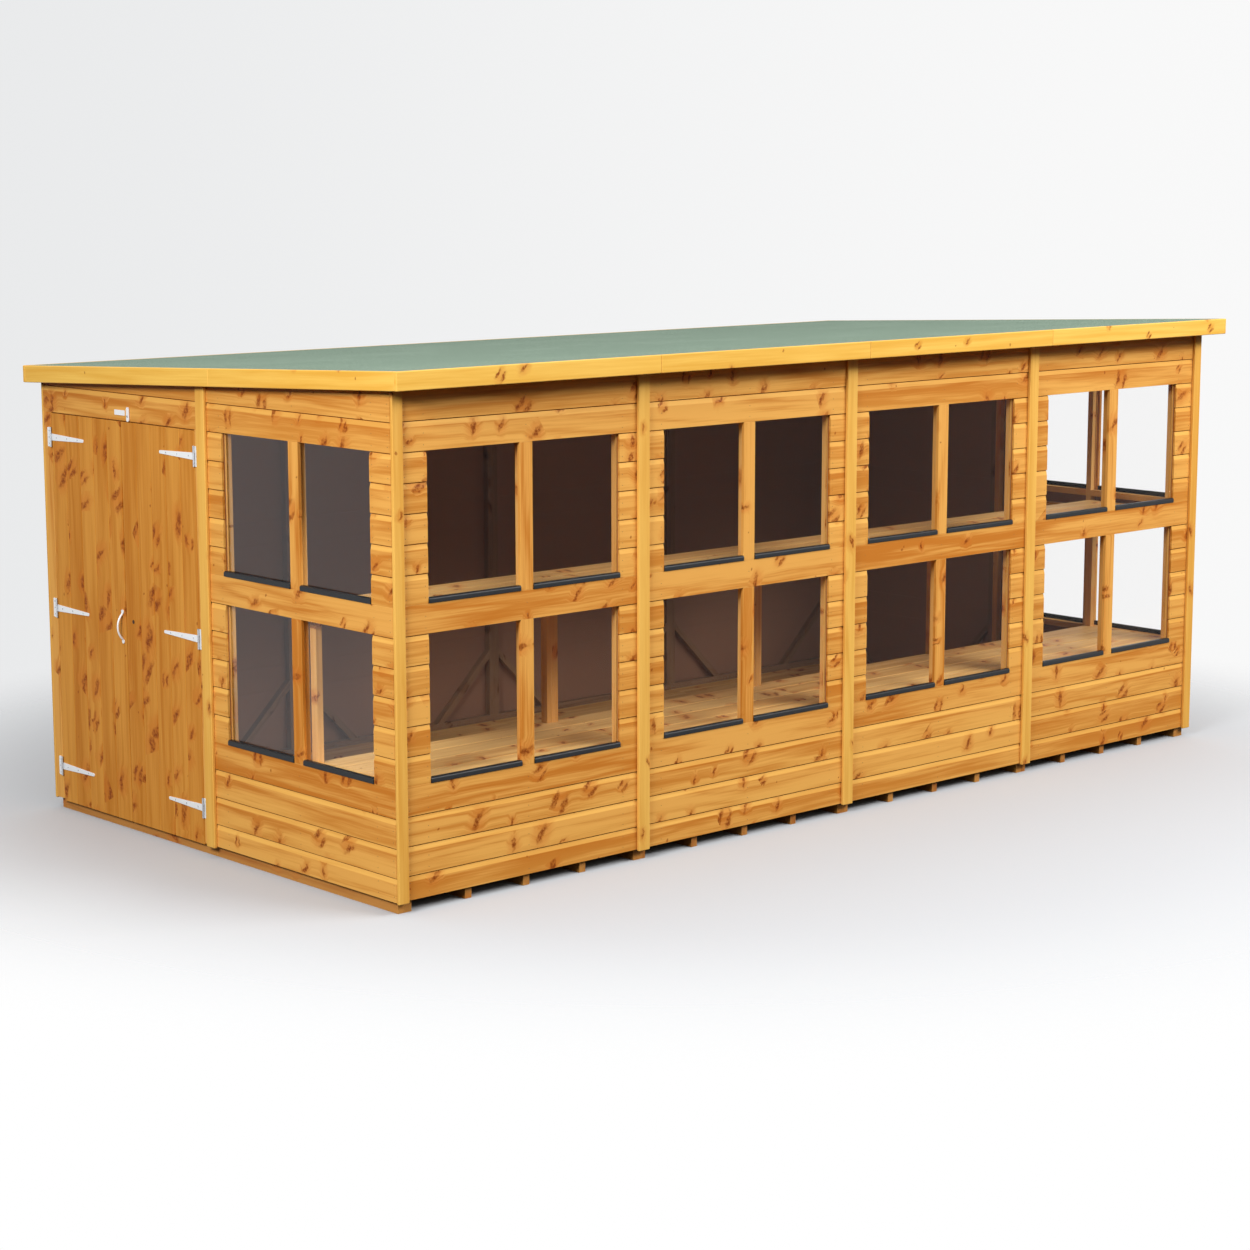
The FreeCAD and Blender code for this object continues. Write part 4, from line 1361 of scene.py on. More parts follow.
@dataclass
class Framing:
    """Studs, rails and braces behind the cladding."""

    yard: Yard
    brace_reach: float = 0.330
    brace_width: float = 0.042
    door_post: float = 0.075
    head_stop: float = 0.015

    def timber(self, wall: Wall, outline: Outline, grain: Grain, slope: float = 0.0) -> Piece:
        """Cuts a frame timber, which lies right behind the cladding."""
        return self.yard.timber(wall, outline, (PLAN.cladding, PLAN.wall), grain, slope)

    def upright(self, wall: Wall, span: Span, foot: float) -> Piece:
        """Makes a stud up to the underside of the top rail.

        Args:
            wall: The wall that the stud is in.
            span: The stud's sides along the wall.
            foot: Height of its foot.

        Returns:
            The stud.
        """
        tops = [wall.top(along) - PLAN.stud for along in span]
        outline = [(span[0], foot), (span[1], foot), (span[1], tops[1]), (span[0], tops[0])]
        return self.timber(wall, outline, Grain.UP)

    def top_rail(self, panel: Panel) -> Piece:
        """Makes the rail along the panel's top line."""
        wall = panel.wall
        low = [(along, wall.top(along) - PLAN.stud) for along in (panel.start, panel.end)]
        high = [(along, wall.top(along)) for along in (panel.end, panel.start)]
        slope = math.atan2(low[1][1] - low[0][1], low[1][0] - low[0][0])
        return self.timber(wall, low + high, Grain.ALONG, slope)

    def rails(self, panel: Panel) -> list[Piece]:
        """Makes the bottom rail on the floor and the top rail."""
        outline = rectangle((panel.start, panel.end), (PLAN.floor_top, PLAN.floor_top + PLAN.stud))
        return [self.timber(panel.wall, outline, Grain.ALONG), self.top_rail(panel)]

    def window_frame(self, panel: Panel) -> list[Piece]:
        """Makes the frame round a panel's panes.

        Args:
            panel: The window panel.

        Returns:
            The timbers.
        """
        wall = panel.wall
        stud = PLAN.stud
        left, right = panel.openings()
        bays = panel.seats()
        foot = PLAN.floor_top + stud
        uprights = [
            (panel.start, panel.start + stud),
            (left[0] - stud, left[0]),
            (bays[0][1], bays[1][0]),
            (right[1], right[1] + stud),
            (panel.end - stud, panel.end),
        ]
        timbers = self.rails(panel)
        timbers += [self.upright(wall, span, foot) for span in uprights]
        for low, high in PLAN.tiers():
            for bay in bays:
                timbers.append(self.timber(wall, rectangle(bay, (low - stud, low)), Grain.ALONG))
                timbers.append(self.timber(wall, rectangle(bay, (high, high + stud)), Grain.ALONG))
        return timbers

    def plain_frame(self, panel: Panel) -> list[Piece]:
        """Makes the frame of a boarded panel.

        Args:
            panel: The plain panel.

        Returns:
            The timbers.
        """
        wall = panel.wall
        stud = PLAN.stud
        foot = PLAN.floor_top + stud
        uprights = [(panel.start, panel.start + stud), (panel.end - stud, panel.end)]
        timbers = self.rails(panel)
        timbers += [self.upright(wall, span, foot) for span in uprights]
        for corner, side in ((uprights[0][1], 1), (uprights[1][0], -1)):
            timbers.append(self.corner_brace(wall, corner, side, foot))
        return timbers

    def corner_brace(self, wall: Wall, corner: float, side: int, foot: float) -> Piece:
        """Makes a short brace between a stud and the bottom rail.

        Args:
            wall: The wall that the brace is in.
            corner: The stud's side along the wall.
            side: 1 where the brace runs to the right along the rail, and -1 to the left.
            foot: Height of the rail's top.

        Returns:
            The brace.
        """
        inner = self.brace_reach - self.brace_width
        on_rail = sorted([(corner + side * inner, foot), (corner + side * self.brace_reach, foot)])
        on_stud = [(corner, foot + inner), (corner, foot + self.brace_reach)]
        if side == 1:
            outline = [on_rail[0], on_rail[1], on_stud[1], on_stud[0]]
        else:
            outline = [on_rail[0], on_rail[1], on_stud[0], on_stud[1]]
        return self.timber(wall, outline, Grain.UP, side * math.pi / 4)

    def door_frame(self, panel: Panel) -> list[Piece]:
        """Makes the posts and the head that the leaves close against.

        Args:
            panel: The door panel.

        Returns:
            The timbers.
        """
        head = PLAN.row_edge(PLAN.head_row())
        posts = [(panel.start, panel.start + self.door_post), (panel.end - self.door_post, panel.end)]
        half = PLAN.stud / 2
        rail = rectangle((posts[0][1], posts[1][0]), (head - self.head_stop, head + PLAN.stud))
        timbers = [self.upright(LEFT, post, PLAN.floor_top) for post in posts]
        timbers.append(self.timber(LEFT, rail, Grain.ALONG))
        middle = (panel.middle() - half, panel.middle() + half)
        timbers.append(self.upright(LEFT, middle, head + PLAN.stud))
        timbers.append(self.top_rail(panel))
        return timbers

    def build(self) -> None:
        """Builds and dresses the frame of every panel."""
        makers = {Kind.WINDOW: self.window_frame, Kind.PLAIN: self.plain_frame, Kind.DOOR: self.door_frame}
        framed = [(panel, makers[panel.kind](panel)) for panel in PANELS]
        for panel, timbers in framed:
            node = panel.node("frame")
            finish = SHADED_WOOD if panel.kind is Kind.PLAIN else FRAME_WOOD
            dress(joined(f"{node}_timbers", timbers), finish, "shed", "frame_timber", node)


@dataclass
class Windows:
    """Panes, the beads that hold them and the sills under them."""

    yard: Yard
    bead: float = 0.005
    sill_proud: float = 0.004

    def panel_parts(self, panel: Panel) -> tuple[list[Piece], list[Piece], list[Piece]]:
        """Makes what one window panel holds.

        Args:
            panel: The window panel.

        Returns:
            Its panes, its beads and its sills.
        """
        wall = panel.wall
        gap = PLAN.glass_clearance
        face = PLAN.cladding + gap
        back = face + self.yard.glass
        panes = []
        beads = []
        sills = []
        for low, high in PLAN.tiers():
            for opening, seat in zip(panel.openings(), panel.seats()):
                outline = rectangle((seat[0] + gap, seat[1] - gap), (low, high - gap))
                pane = self.yard.cut(Section.GLASS, outline, face, back)
                pane.data.transform(wall.matrix())
                panes.append(pane)
                for span in ((seat[0], seat[0] + self.bead), (seat[1] - self.bead, seat[1])):
                    outline = rectangle(span, (low, high))
                    depth = (back, back + self.bead)
                    beads.append(self.yard.timber(wall, outline, depth, Grain.UP))
                outline = rectangle(opening, (low, low + self.yard.sill_height))
                sill = self.yard.cut(Section.SILL, outline, -self.sill_proud, face)
                sill.data.transform(wall.matrix())
                sills.append(sill)
        return panes, beads, sills

    def build(self) -> None:
        """Builds and dresses the panes, beads and sills of the front and of the ends."""
        beads = []
        sides = (
            ("front", FRONT_PANELS, CLEAR_GLASS),
            ("end", [LEFT_WINDOW, RIGHT_WINDOW], VEILED_GLASS),
        )
        for side, panels, glass in sides:
            panes = []
            sills = []
            for panel in panels:
                panel_panes, panel_beads, panel_sills = self.panel_parts(panel)
                panes += panel_panes
                beads += panel_beads
                sills += panel_sills
            dress(joined(f"{side}_panes", panes), glass, "shed", "window_glass", f"{side}_glazing")
            piece = joined(f"{side}_window_sills", sills)
            dress(piece, SILL_PLASTIC, "shed", "sill_plastic", f"{side}_sills")
        dress(joined("pane_beads", beads), FRAME_WOOD, "shed", "frame_timber", "glazing_beads")


@dataclass
class CoverStrips:
    """Upright strips over the corners and over the joints between panels."""

    yard: Yard
    width: float = 0.060
    thickness: float = 0.015
    top_gap: float = 0.015

    def strip(self, wall: Wall, start: float, end: float) -> Piece:
        """Makes a strip on a wall's face, up to a little below the roof.

        Args:
            wall: The wall that the strip is on.
            start: The strip's left side along the wall.
            end: Its right side.

        Returns:
            The strip.
        """
        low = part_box("corner_strips")[0].z
        tops = [wall.top(along) - self.top_gap for along in (start, end)]
        outline = [(start, low), (end, low), (end, tops[1]), (start, tops[0])]
        return self.yard.timber(wall, outline, (-self.thickness, 0.0), Grain.UP, section=Section.PLANED)

    def build(self) -> None:
        """Builds and dresses the corner strips and the joint strips."""
        corners = []
        joints = []
        half = self.width / 2
        for wall in (FRONT, BACK):
            for start in (0.0, LENGTH - PLAN.wall):
                corners.append(self.strip(wall, start, start + PLAN.wall))
            for along in PLAN.joints()[1:-1]:
                joints.append(self.strip(wall, along - half, along + half))
        for wall in (LEFT, RIGHT):
            joints.append(self.strip(wall, END_JOINT - half, END_JOINT + half))
        dress(joined("corner_cover_strips", corners), STRIP_WOOD, "shed", "strip_timber", "corner_strips")
        dress(joined("joint_cover_strips", joints), STRIP_WOOD, "shed", "strip_timber", "joint_strips")


@dataclass
class Roof:
    """Rafters, boards, felt and the fascias round the edge."""

    yard: Yard
    rafter_width: float = 0.035
    rafter_height: float = 0.060
    felt: float = 0.003
    felt_strips: int = 3
    fascia_height: float = 0.072
    fascia_shift: float = 0.124

    def layer(self, along: Span, depth: Span, height: Span, grain: Grain,
              section: Section = Section.EASED) -> Piece:
        """Makes a part that follows the roof's slope.

        Args:
            along: Its ends in x.
            depth: Its front and its back in y.
            height: Its underside and its top above the roof's underside.
            grain: Which way its grain runs.
            section: The section to cut from.

        Returns:
            The part in its place.
        """
        piece = self.yard.grow(self.yard.cut(section, rectangle(along, height), *depth), grain)
        points = read_points(piece)
        points[:, 2] += [PLAN.roof(y) for y in points[:, 1]]
        piece.data.vertices.foreach_set("co", points.ravel())
        piece.data.update()
        return piece

    def long_fascia(self, node: str) -> list[Piece]:
        """Makes the level fascia along the front or the back."""
        low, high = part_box(node)
        parts = []
        for along in PLAN.lengths((low.x, high.x)):
            outline = rectangle(along, (low.z, high.z))
            piece = self.yard.grow(self.yard.cut(Section.PLANED, outline, low.y, high.y), Grain.ALONG)
            parts.append(piece)
        return parts

    def end_fascia(self, node: str) -> list[Piece]:
        """Makes the sloping fascia along an end, in two lengths that meet in front of the panels' joint."""
        low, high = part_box(node)
        top = self.felt + PLAN.roof_sheet
        joint = (PLAN.front + PLAN.back) / 2 - self.fascia_shift
        parts = []
        for depth in ((low.y, joint), (joint, high.y)):
            height = (top - self.fascia_height, top)
            parts.append(self.layer((low.x, high.x), depth, height, Grain.THROUGH, Section.PLANED))
        return parts

    def build(self) -> None:
        """Builds and dresses the roof from the rafters up."""
        low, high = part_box("roof_boards")
        top = PLAN.roof_sheet + self.felt
        half = self.rafter_width / 2
        step = PLAN.panel() / 2
        rafters = []
        for count in range(1, 2 * PLAN.front_panels):
            middle = PLAN.left + PLAN.wall + count * step
            depth = (PLAN.front + PLAN.wall, PLAN.back - PLAN.wall)
            span = (middle - half, middle + half)
            rafters.append(self.layer(span, depth, (-self.rafter_height, 0.0), Grain.THROUGH))
        sheets = []
        for span in PLAN.lengths((low.x, high.x)):
            height = (0.0, PLAN.roof_sheet)
            sheets.append(self.layer(span, (low.y, high.y), height, Grain.ALONG))
        strips = []
        width = (high.y - low.y) / self.felt_strips
        for count in range(self.felt_strips):
            depth = (low.y + count * width, low.y + (count + 1) * width)
            height = (PLAN.roof_sheet, top)
            strips.append(self.layer((low.x, high.x), depth, height, Grain.ALONG))
        dress(joined("rafters", rafters), FRAME_WOOD, "shed", "frame_timber", "roof_rafters")
        dress(joined("roof_sheets", sheets), FRAME_WOOD, "shed", "frame_timber", "roof_boards")
        dress(joined("felt_strips", strips), ROOF_FELT, "shed", "roof_felt", "roof_felt")
        for make, sides in ((self.long_fascia, ("front", "back")), (self.end_fascia, ("left", "right"))):
            for side in sides:
                node = f"fascia_{side}"
                dress(joined(f"{side}_fascia_boards", make(node)), FASCIA_WOOD, "shed", "strip_timber", node)


@dataclass
class Floor:
    """Joists and the boards on them, in panels along the shed."""

    yard: Yard
    joist: float = 0.032
    joists: int = 5
    rows: int = 20
    ground: Wall = Wall((0.0, 0.0), 0.0, 0.0, 0.0, 1.0)

    def build(self) -> None:
        """Builds and dresses the joists and the floor boards."""
        low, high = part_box("floor_joists")
        board_low, board_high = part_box("floor_boards")
        middle = (PLAN.front + PLAN.back) / 2
        depth = (board_high.y - board_low.y) / self.rows
        step = (PLAN.panel() - self.joist) / (self.joists - 1)
        joists = []
        boards = []
        for joint, along in zip(PLAN.joints(), PLAN.lengths((board_low.x, board_high.x))):
            for count in range(self.joists):
                start = PLAN.left + joint + count * step
                outline = rectangle((start, start + self.joist), (low.z, high.z))
                for span in ((low.y, middle), (middle, high.y)):
                    joists.append(self.yard.timber(self.ground, outline, span, Grain.THROUGH))
            outline = rectangle(along, (board_low.z, board_high.z))
            for row in range(self.rows):
                span = (board_low.y + row * depth, board_low.y + (row + 1) * depth)
                boards.append(self.yard.timber(self.ground, outline, span, Grain.LYING))
        for shift, ends in ((-self.joist, joists[:2]), (self.joist, joists[-2:])):
            joists += [copied(joist, "end_joist", Matrix.Translation((shift, 0, 0))) for joist in ends]
        dress(joined("joists", joists), JOIST_WOOD, "shed", "frame_timber", "floor_joists")
        dress(joined("floor_planks", boards), SHELF_WOOD, "shed", "planed_timber", "floor_boards")


@dataclass
class Bench:
    """Two tiers of slatted staging behind the front windows."""

    yard: Yard
    leg: float = 0.030
    bearer: float = 0.045
    slats: int = 4
    gap: float = 0.005

    def ends(self) -> list[Span]:
        """Places of the legs along the front wall, two to each panel."""
        spans = []
        for panel in FRONT_PANELS:
            spans += [(panel.start, panel.start + self.leg), (panel.end - self.leg, panel.end)]
        return spans

    def notch(self, slat: Piece, panel: Panel) -> None:
        """Cuts the corners of a slat away round the two legs of its panel.

        Args:
            slat: The slat, in the front wall's frame.
            panel: The panel that it lies behind.
        """
        low, high = FRONT.box("bench_legs")
        spare = Vector((0.0, self.leg, 0.0))
        cutters = []
        for start in (panel.start - self.leg, panel.end - self.leg):
            corner = Vector((start, low.y, low.z))
            far_corner = Vector((start + 2 * self.leg, high.y, high.z)) + spare
            cutters.append(block("leg_space", corner, far_corner))
        cutter = joined("leg_space", cutters)
        bpy.context.view_layer.objects.active = slat
        tool = slat.modifiers.new("leg_space", "BOOLEAN")
        tool.operation = "DIFFERENCE"
        tool.object = cutter
        bpy.ops.object.modifier_apply(modifier=tool.name)
        bpy.data.objects.remove(cutter)

    def shelf(self, node: str) -> list[Piece]:
        """Makes the slats of one shelf, the last ones notched where the legs pass it."""
        low, high = FRONT.box(node)
        legs = FRONT.box("bench_legs")
        width = (high.y - low.y - (self.slats - 1) * self.gap) / self.slats
        slats = []
        for panel in FRONT_PANELS:
            outline = rectangle((panel.start, panel.end), (low.z, high.z))
            for count in range(self.slats):
                start = low.y + count * (width + self.gap)
                slat = self.yard.cut(Section.EASED, outline, start, start + width)
                if start + width > legs[0].y and low.z < legs[1].z - self.gap:
                    self.notch(slat, panel)
                self.yard.grow(slat, Grain.LYING)
                slat.data.transform(FRONT.matrix())
                slats.append(slat)
        return slats

    def build(self) -> None:
        """Builds and dresses the legs, the bearers and the shelves."""
        low, high = FRONT.box("bench_legs")
        legs = []
        bearers = []
        for span in self.ends():
            outline = rectangle(span, (low.z, high.z))
            legs.append(self.yard.timber(FRONT, outline, (low.y, high.y), Grain.UP))
            for shelf in ("lower_shelf", "upper_shelf"):
                top = FRONT.box(shelf)[0].z
                outline = rectangle(span, (top - self.bearer, top))
                depth = (PLAN.wall, low.y)
                bearers.append(self.yard.timber(FRONT, outline, depth, Grain.THROUGH))
        dress(joined("staging_legs", legs), FRAME_WOOD, "shed", "frame_timber", "bench_legs")
        dress(joined("staging_bearers", bearers), FRAME_WOOD, "shed", "frame_timber", "bench_bearers")
        for shelf in ("upper_shelf", "lower_shelf"):
            dress(joined(f"{shelf}_slats", self.shelf(shelf)), SHELF_WOOD, "shed", "planed_timber", shelf)


class Side(Enum):
    """Which leaf: 1 has its hinges on the left seen from outside, and -1 on the right."""

    LEFT = 1
    RIGHT = -1


class Iron(Enum):
    """The kinds of part that the hinges are made of."""

    STRAP = "strap"
    PLATE = "plate"
    PIN = "pin"
    SCREW = "screw"


@dataclass
class Ironmongery:
    """Hinge straps, plates, pins and screws, each modelled once at its own origin."""

    metal: float = 0.002
    axis_proud: float = 0.005
    knuckle: float = 0.0045
    strap_length: float = 0.250
    strap_root: float = 0.030
    strap_tip: float = 0.013
    plate_height: float = 0.083
    plate_far: float = 0.0315
    plate_near: float = 0.0045
    knuckle_gap: float = 0.0005
    pin: float = 0.0025
    pin_head: float = 0.0036
    pin_head_height: float = 0.0015
    screw: float = 0.0035
    screw_height: float = 0.0012
    rim: float = 0.0005
    # Shares of the strap's tip, and of a screw head's radius and height
    tip_round: float = 0.48
    head_round: float = 0.4
    socket_inset: float = 0.3
    socket_depth: float = 0.6
    socket_taper: float = 0.7
    made: dict[Iron, Piece] = field(default_factory=dict)

    def __post_init__(self) -> None:
        """Models each kind of part once."""
        self.made = {
            Iron.STRAP: self.strap(),
            Iron.PLATE: self.plate(),
            Iron.PIN: self.hinge_pin(),
            Iron.SCREW: self.screw_head(self.screw, self.screw_height),
        }
        for piece in self.made.values():
            bpy.context.collection.objects.unlink(piece)

    def barrel(self, low: float, high: float) -> Piece:
        """Makes a stretch of the hinge's barrel."""
        place = Vector((0.0, -self.axis_proud, 0.0))
        up = Vector((0.0, 0.0, 1.0))
        piece = rod("barrel", place + up * low, place + up * high, self.knuckle, sides=20, rim=self.rim)
        piece.data.materials.append(ZINC.material())
        return piece

    def strap(self) -> Piece:
        """Models a strap that tapers to a round tip, with its barrel at the origin.

        Returns:
            The strap, running to the right.
        """
        root = self.strap_root / 2
        tip = self.strap_tip / 2
        end = self.strap_length + tip
        piece = block("strap", Vector((0, -self.metal, -root)), Vector((end, 0, root)))
        with editing(piece):
            pick(piece, Element.CORNER, lambda at: near(at.x, end))
            taper = self.strap_tip / self.strap_root
            bpy.ops.transform.resize(value=(1, 1, taper), center_override=(end, 0, 0))
            ease_corners(piece, (end,), (-tip, tip), self.strap_tip * self.tip_round, 6)
            ease_face(piece, -self.metal, self.rim, 2)
        piece.data.materials.append(WHITE_METAL.material())
        return joined("strap", [piece, self.barrel(-root, root)])

    def plate(self) -> Piece:
        """Models the plate on the post, with the two barrels that hold the strap's between them.

        Returns:
            The plate, to the left of its barrels.
        """
        half = self.plate_height / 2
        inner = self.strap_root / 2 + self.knuckle_gap
        corner = Vector((-self.plate_far, -self.metal, -half))
        piece = block("plate", corner, Vector((-self.plate_near, 0, half)))
        with editing(piece):
            ease_corners(piece, (-self.plate_far,), (-half, half), self.knuckle, 4)
            ease_face(piece, -self.metal, self.rim, 2)
        piece.data.materials.append(WHITE_METAL.material())
        parts = [piece]
        for low, high in ((-half, -inner), (inner, half)):
            tab = block("tab", Vector((-self.plate_near, -self.metal, low)), Vector((0, 0, high)))
            with editing(tab):
                ease_face(tab, -self.metal, self.rim, 2)
            parts += [tab, self.barrel(low, high)]
        return joined("plate", parts)

    def hinge_pin(self) -> Piece:
        """Models the pin through the barrels, with its head on top.

        Returns:
            The pin.
        """
        half = self.plate_height / 2
        place = Vector((0.0, -self.axis_proud, half))
        foot = place - Vector((0.0, 0.0, self.plate_height))
        shank = rod("pin", foot, place, self.pin, sides=16)
        top = place + Vector((0.0, 0.0, self.pin_head_height))
        return joined("pin", [shank, rod("cap", place, top, self.pin_head, sides=20, rim=self.rim)])

    def screw_head(self, radius: float, height: float) -> Piece:
        """Models a screw head with a socket, whose underside is at the origin.

        Args:
            radius: The head's radius.
            height: How proud the head stands.

        Returns:
            The screw head, facing out of the wall.
        """
        piece = rod("screw", Vector(), Vector((0, -height, 0)), radius, sides=16)
        inward = (0, height * self.socket_depth, 0)
        with editing(piece):
            ease_face(piece, -height, height * self.head_round, 2)
            pick(piece, Element.FACE, lambda at: near(at.y, -height))
            bpy.ops.mesh.inset(thickness=radius * self.socket_inset)
            bpy.ops.mesh.extrude_region_move(TRANSFORM_OT_translate={"value": inward})
            taper = (self.socket_taper, 1, self.socket_taper)
            bpy.ops.transform.resize(value=taper, center_override=(0, 0, 0))
        return piece

    def put(self, kind: Iron, along: float, proud: float, height: float, flip: bool = False) -> Piece:
        """Puts a copy of a part on the wall that holds the doors.

        Args:
            kind: Which part.
            along: Its place along the wall.
            proud: How far its own origin stands out from the wall's face.
            height: Its height.
            flip: Turns it to run to the other side.

        Returns:
            The copy.
        """
        turn = Matrix.Rotation(math.pi if flip else 0.0, 4, "Y")
        place = Matrix.Translation((along, -proud, height))
        return copied(self.made[kind], kind.value, LEFT.matrix() @ place @ turn)

    def clear(self) -> None:
        """Puts the modelled parts away."""
        for piece in self.made.values():
            bpy.data.objects.remove(piece)


@dataclass
class DoorLeaf:
    """A ledged and braced leaf with its hinge straps."""

    yard: Yard
    iron: Ironmongery
    side: Side
    boards: int = 5
    ledge: float = 0.020
    ledge_height: float = 0.090
    hinge_gap: float = 0.045
    meeting_gap: float = 0.028
    meeting_ease: float = 0.0015
    brace: float = 0.080
    door_gap: float = 0.003
    hinge_heights: tuple[float, ...] = (0.194, 0.892, 1.632)
    strap_screws: int = 3
    plate_screw_pitch: float = 0.028

    def __post_init__(self) -> None:
        """Reads the leaf's edges from the frame."""
        self.name = self.side.name.lower()
        self.body = f"{self.name}_door"
        low, high = LEFT.box(f"{self.name}_door_boards")
        self.low, self.high = low, high
        is_left = self.side is Side.LEFT
        self.hinge_edge = low.x if is_left else high.x
        self.meeting_edge = high.x if is_left else low.x
        self.axis = self.hinge_edge - self.side.value * self.door_gap / 2

    def at(self, distance: float) -> float:
        """A place along the wall, measured from the leaf's hinge edge."""
        return self.hinge_edge + self.side.value * distance

    def board_parts(self) -> list[Piece]:
        """Makes the leaf's upright boards."""
        start, end = ordered(self.hinge_edge, self.meeting_edge - self.side.value * self.meeting_ease)
        width = (end - start) / self.boards
        depth = (self.low.y, self.high.y)
        parts = []
        for count in range(self.boards):
            span = (start + count * width, start + (count + 1) * width)
            outline = rectangle(span, (self.low.z, self.high.z))
            parts.append(self.yard.timber(LEFT, outline, depth, Grain.UP, section=Section.TONGUED))
        return parts

    def ledge_parts(self) -> list[Piece]:
        """Makes the ledges across the back and the braces between them."""
        far = abs(self.meeting_edge - self.hinge_edge) - self.meeting_gap
        half = self.ledge_height / 2
        depth = (self.high.y, self.high.y + self.ledge)
        parts = []
        width = ordered(self.at(self.hinge_gap), self.at(far))
        for height in self.hinge_heights:
            outline = rectangle(width, (height - half, height + half))
            parts.append(self.yard.timber(LEFT, outline, depth, Grain.ALONG))
        for low, high in zip(self.hinge_heights, self.hinge_heights[1:]):
            foot = ordered(self.at(self.hinge_gap), self.at(self.hinge_gap + self.brace))
            head = ordered(self.at(far - self.brace), self.at(far))
            bottom = low + half
            top = high - half
            slope = math.atan2(high - low - self.ledge_height, head[0] - foot[0])
            outline = [(foot[0], bottom), (foot[1], bottom), (head[1], top), (head[0], top)]
            parts.append(self.yard.timber(LEFT, outline, depth, Grain.ALONG, slope))
        return parts

    def build(self) -> None:
        """Builds and dresses the leaf's boards, ledges, straps and strap screws."""
        flip = self.side is Side.RIGHT
        step = self.iron.strap_length / self.strap_screws
        straps = []
        screws = []
        for height in self.hinge_heights:
            straps.append(self.iron.put(Iron.STRAP, self.axis, 0.0, height, flip))
            for count in range(self.strap_screws):
                along = self.axis + self.side.value * (count + 0.5) * step
                screws.append(self.iron.put(Iron.SCREW, along, self.iron.metal, height))
        rows = (
            ("leaf_boards", self.board_parts(), DOOR_WOOD, "door_timber", "door_boards"),
            ("leaf_ledges", self.ledge_parts(), FRAME_WOOD, "frame_timber", "door_ledges"),
            ("hinge_straps", straps, WHITE_METAL, "white_metal", "door_straps"),
            ("hinge_screws", screws, ZINC, "zinc_steel", "strap_screws"),
        )
        for name, parts, finish, slot, node in rows:
            dress(joined(f"{self.name}_{name}", parts), finish, self.body, slot, f"{self.name}_{node}")

    def post_parts(self) -> tuple[list[Piece], list[Piece], list[Piece]]:
        """Makes what the leaf's hinges leave on the post.

        Returns:
            The plates, the pins and the plates' screws.
        """
        flip = self.side is Side.RIGHT
        middle = (self.iron.plate_far + self.iron.plate_near) / 2
        plates = []
        pins = []
        screws = []
        for height in self.hinge_heights:
            plates.append(self.iron.put(Iron.PLATE, self.axis, 0.0, height, flip))
            pins.append(self.iron.put(Iron.PIN, self.axis, 0.0, height))
            for rise in (-self.plate_screw_pitch, 0.0, self.plate_screw_pitch):
                along = self.axis - self.side.value * middle
                screws.append(self.iron.put(Iron.SCREW, along, self.iron.metal, height + rise))
        return plates, pins, screws


